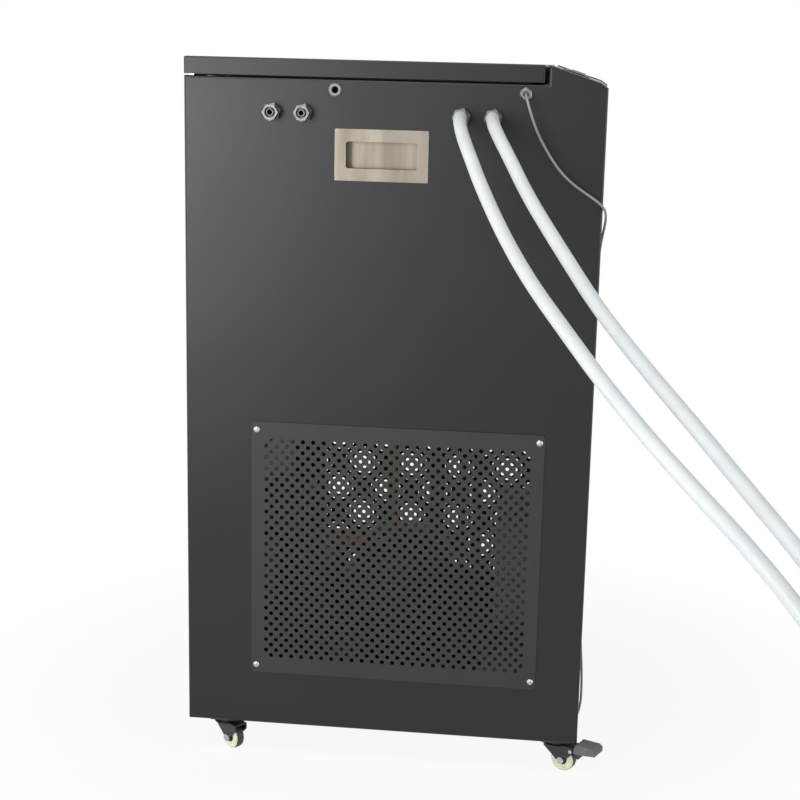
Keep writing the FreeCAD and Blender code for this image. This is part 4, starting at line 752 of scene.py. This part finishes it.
def rounded_outline(width, height, corner, steps=6):
    """Points round a rectangle with rounded corners, in millimetres."""
    outline = []
    for quarter, (side_x, side_z) in enumerate(((1, 1), (-1, 1), (-1, -1), (1, -1))):
        for step in range(steps + 1):
            angle = math.radians(90 * quarter + 90 * step / steps)
            x = side_x * (width / 2 - corner) + corner * math.cos(angle)
            z = side_z * (height / 2 - corner) + corner * math.sin(angle)
            outline.append((x, z))
    return outline


def zigzag():
    """The outline of the tiled field: the outermost tiles' tips, in order round it."""
    half_x, half_z = PITCH / 2, ROW / 2
    columns, rows = SHORT
    right, top = (columns - 1) / 2 * PITCH, (rows - 1) / 2 * ROW
    tips = []
    for index in range(columns):
        x = right - index * PITCH
        tips.append((x, top + half_z))
        if index < columns - 1:
            tips.append((x - half_x, top))
    tips.append((-right - half_x, top))
    for index in range(rows - 1):
        z = top - index * ROW
        tips.append((-right - PITCH, z - half_z))
        tips.append((-right - half_x, z - ROW))
    return tips + [(-x, -z) for x, z in tips]


def margin_piece(name):
    """The plain margin round the field, front and back, with its outer wall."""
    work = bmesh.new()
    outer_rings = []
    for depth in (-SHEET, 0.0):
        rings = []
        edges = []
        for outline in (rounded_outline(*PLATE, CORNER), zigzag()):
            ring = [work.verts.new((x * MM, depth * MM, z * MM)) for x, z in outline]
            edges += [work.edges.new((a, b)) for a, b in zip(ring, ring[1:] + ring[:1])]
            rings.append(ring)
        outer_rings.append(rings[0])
        bmesh.ops.triangle_fill(work, use_beauty=True, use_dissolve=False, edges=edges)
    front, rear = outer_rings
    for index, vertex in enumerate(front):
        after = (index + 1) % len(front)
        work.faces.new((vertex, front[after], rear[after], rear[index]))
    bmesh.ops.recalc_face_normals(work, faces=work.faces)
    data = bpy.data.meshes.new(name)
    work.to_mesh(data)
    work.free()
    data.materials.append(screen)
    piece = bpy.data.objects.new(name, data)
    scene.collection.objects.link(piece)
    return piece


margin = margin_piece("margin")
print("the margin has", len(margin.data.polygons), "faces")

# %% [markdown]
# Both sides of the cabinet have a screen, one the mirror of the other. The frame's plain plates say
# where: the field and the margin are copied to the middle of each, and a mirrored copy has its faces
# turned, because mirroring a mesh turns it inside out.

# %% Screens in place
for side, node in ((1, "port_side_grille"), (-1, "plain_side_grille")):
    low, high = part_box(node)
    seat = Vector(((low[0] + high[0]) / 2, high[1] if side > 0 else low[1], (low[2] + high[2]) / 2))
    for source in (field, margin):
        mesh = source.data.copy()
        mesh.transform(Matrix.Translation(seat) @ Matrix.Diagonal((1, side, 1, 1)))
        if side < 0:
            mesh.flip_normals()
        piece = bpy.data.objects.new(f"{node}_{source.name}", mesh)
        scene.collection.objects.link(piece)
        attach(piece, "cabinet")
        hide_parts(node)
        print(piece.name, len(mesh.polygons), "faces")
for source in (field, margin):
    bpy.data.objects.remove(source)

# %% [markdown]
# The photograph was taken against white. Light bright enough to burn a backdrop white would spoil
# every colour, so the white comes from a mix instead: rays from the camera, from a reflection and
# through a clear piece see plain white, and all others see a pale blue-grey room. The floor is
# white the same way further out, and near the castors it stays paper, so that it keeps a shadow.

# %% Room and floor
ROOM = (0.88, 0.94, 1.0, 1)
ROOM_LEVEL = 0.36
FLOOR_REACH = 6.0
NEAR = 0.35
FAR = 0.8
NEAR_WHITE = 0.9
PAPER = (0.8, 0.8, 0.8, 1)
WHITE = (1, 1, 1, 1)


def seen(tree):
    """A socket that is one for rays from the camera, a reflection or a clear piece."""
    path = add(tree, "ShaderNodeLightPath")
    values = {0: path.outputs["Is Camera Ray"], 1: path.outputs["Is Glossy Ray"]}
    either = add(tree, "ShaderNodeMath", values, operation="ADD", use_clamp=True).outputs[0]
    values = {0: either, 1: path.outputs["Is Transmission Ray"]}
    return add(tree, "ShaderNodeMath", values, operation="ADD", use_clamp=True).outputs[0]


world = bpy.data.worlds.new("studio")
scene.world = world
world.use_nodes = True
tree = world.node_tree
tree.nodes.clear()
room = add(tree, "ShaderNodeBackground", {"Color": ROOM, "Strength": ROOM_LEVEL}).outputs[0]
white = add(tree, "ShaderNodeBackground", {"Color": WHITE, "Strength": 1.0}).outputs[0]
either = add(tree, "ShaderNodeMixShader", {0: seen(tree), 1: room, 2: white}).outputs[0]
add(tree, "ShaderNodeOutputWorld", {"Surface": either})

ground_data = bpy.data.meshes.new("floor")
corners = [(-1, -1), (1, -1), (1, 1), (-1, 1)]
ground_data.from_pydata([(x * FLOOR_REACH, y * FLOOR_REACH, 0) for x, y in corners], [], [(0, 1, 2, 3)])
ground = bpy.data.objects.new("floor", ground_data)
scene.collection.objects.link(ground)
paper_white = bpy.data.materials.new("matte paper, pale")
paper_white.use_nodes = True
tree = paper_white.node_tree
tree.nodes.clear()
place = add(tree, "ShaderNodeTexCoord").outputs["Object"]
away = add(tree, "ShaderNodeVectorMath", {0: place}, operation="LENGTH").outputs["Value"]
values = {"Value": away, "From Min": NEAR, "From Max": FAR, "To Min": NEAR_WHITE, "To Max": 1.0}
whiteness = add(tree, "ShaderNodeMapRange", values).outputs["Result"]
values = {0: whiteness, 1: seen(tree)}
share = add(tree, "ShaderNodeMath", values, operation="MULTIPLY").outputs[0]
paper = add(tree, "ShaderNodeBsdfDiffuse", {"Color": PAPER}).outputs[0]
glow = add(tree, "ShaderNodeEmission", {"Color": WHITE, "Strength": 1.0}).outputs[0]
either = add(tree, "ShaderNodeMixShader", {0: share, 1: paper, 2: glow}).outputs[0]
add(tree, "ShaderNodeOutputMaterial", {"Surface": either})
ground_data.materials.append(paper_white)
print("room level", ROOM_LEVEL, "and a floor", 2 * FLOOR_REACH, "m wide")

# %% [markdown]
# Four soft boxes stand for the photograph's window and room. The window is a tall one, left of the
# camera, and its blurred reflection gives the side its sheen from the upper left. One above draws
# the shadows down, and a weak one on each hand lights the cabinet's rounded corners.

# %% Soft boxes
SOFT_BOXES = (
    ("window", (-1400, 3075, 700), (1.6, 3.0), 112),
    ("high", (-300, 900, 2500), (1.4, 1.4), 20),
    ("right", (2500, 600, 900), (1.2, 1.8), 16),
    ("left", (-2300, 200, 900), (1.2, 1.8), 16),
)
MIDDLE = (250, 0, 500)


def soft_box(name, place, target, size, power):
    """An area light at a place, aimed at a target."""
    data = bpy.data.lights.new(name, "AREA")
    data.shape = "RECTANGLE"
    data.size, data.size_y = size
    data.energy = power
    light = bpy.data.objects.new(name, data)
    light.location = place
    light.rotation_mode = "QUATERNION"
    light.rotation_quaternion = (Vector(target) - Vector(place)).to_track_quat("-Z", "Y")
    scene.collection.objects.link(light)
    return light


middle = at(*MIDDLE)
for name, place, size, power in SOFT_BOXES:
    soft_box(name, at(*place), middle, size, power)
print(len(SOFT_BOXES), "soft boxes round", tuple(round(value, 3) for value in middle))
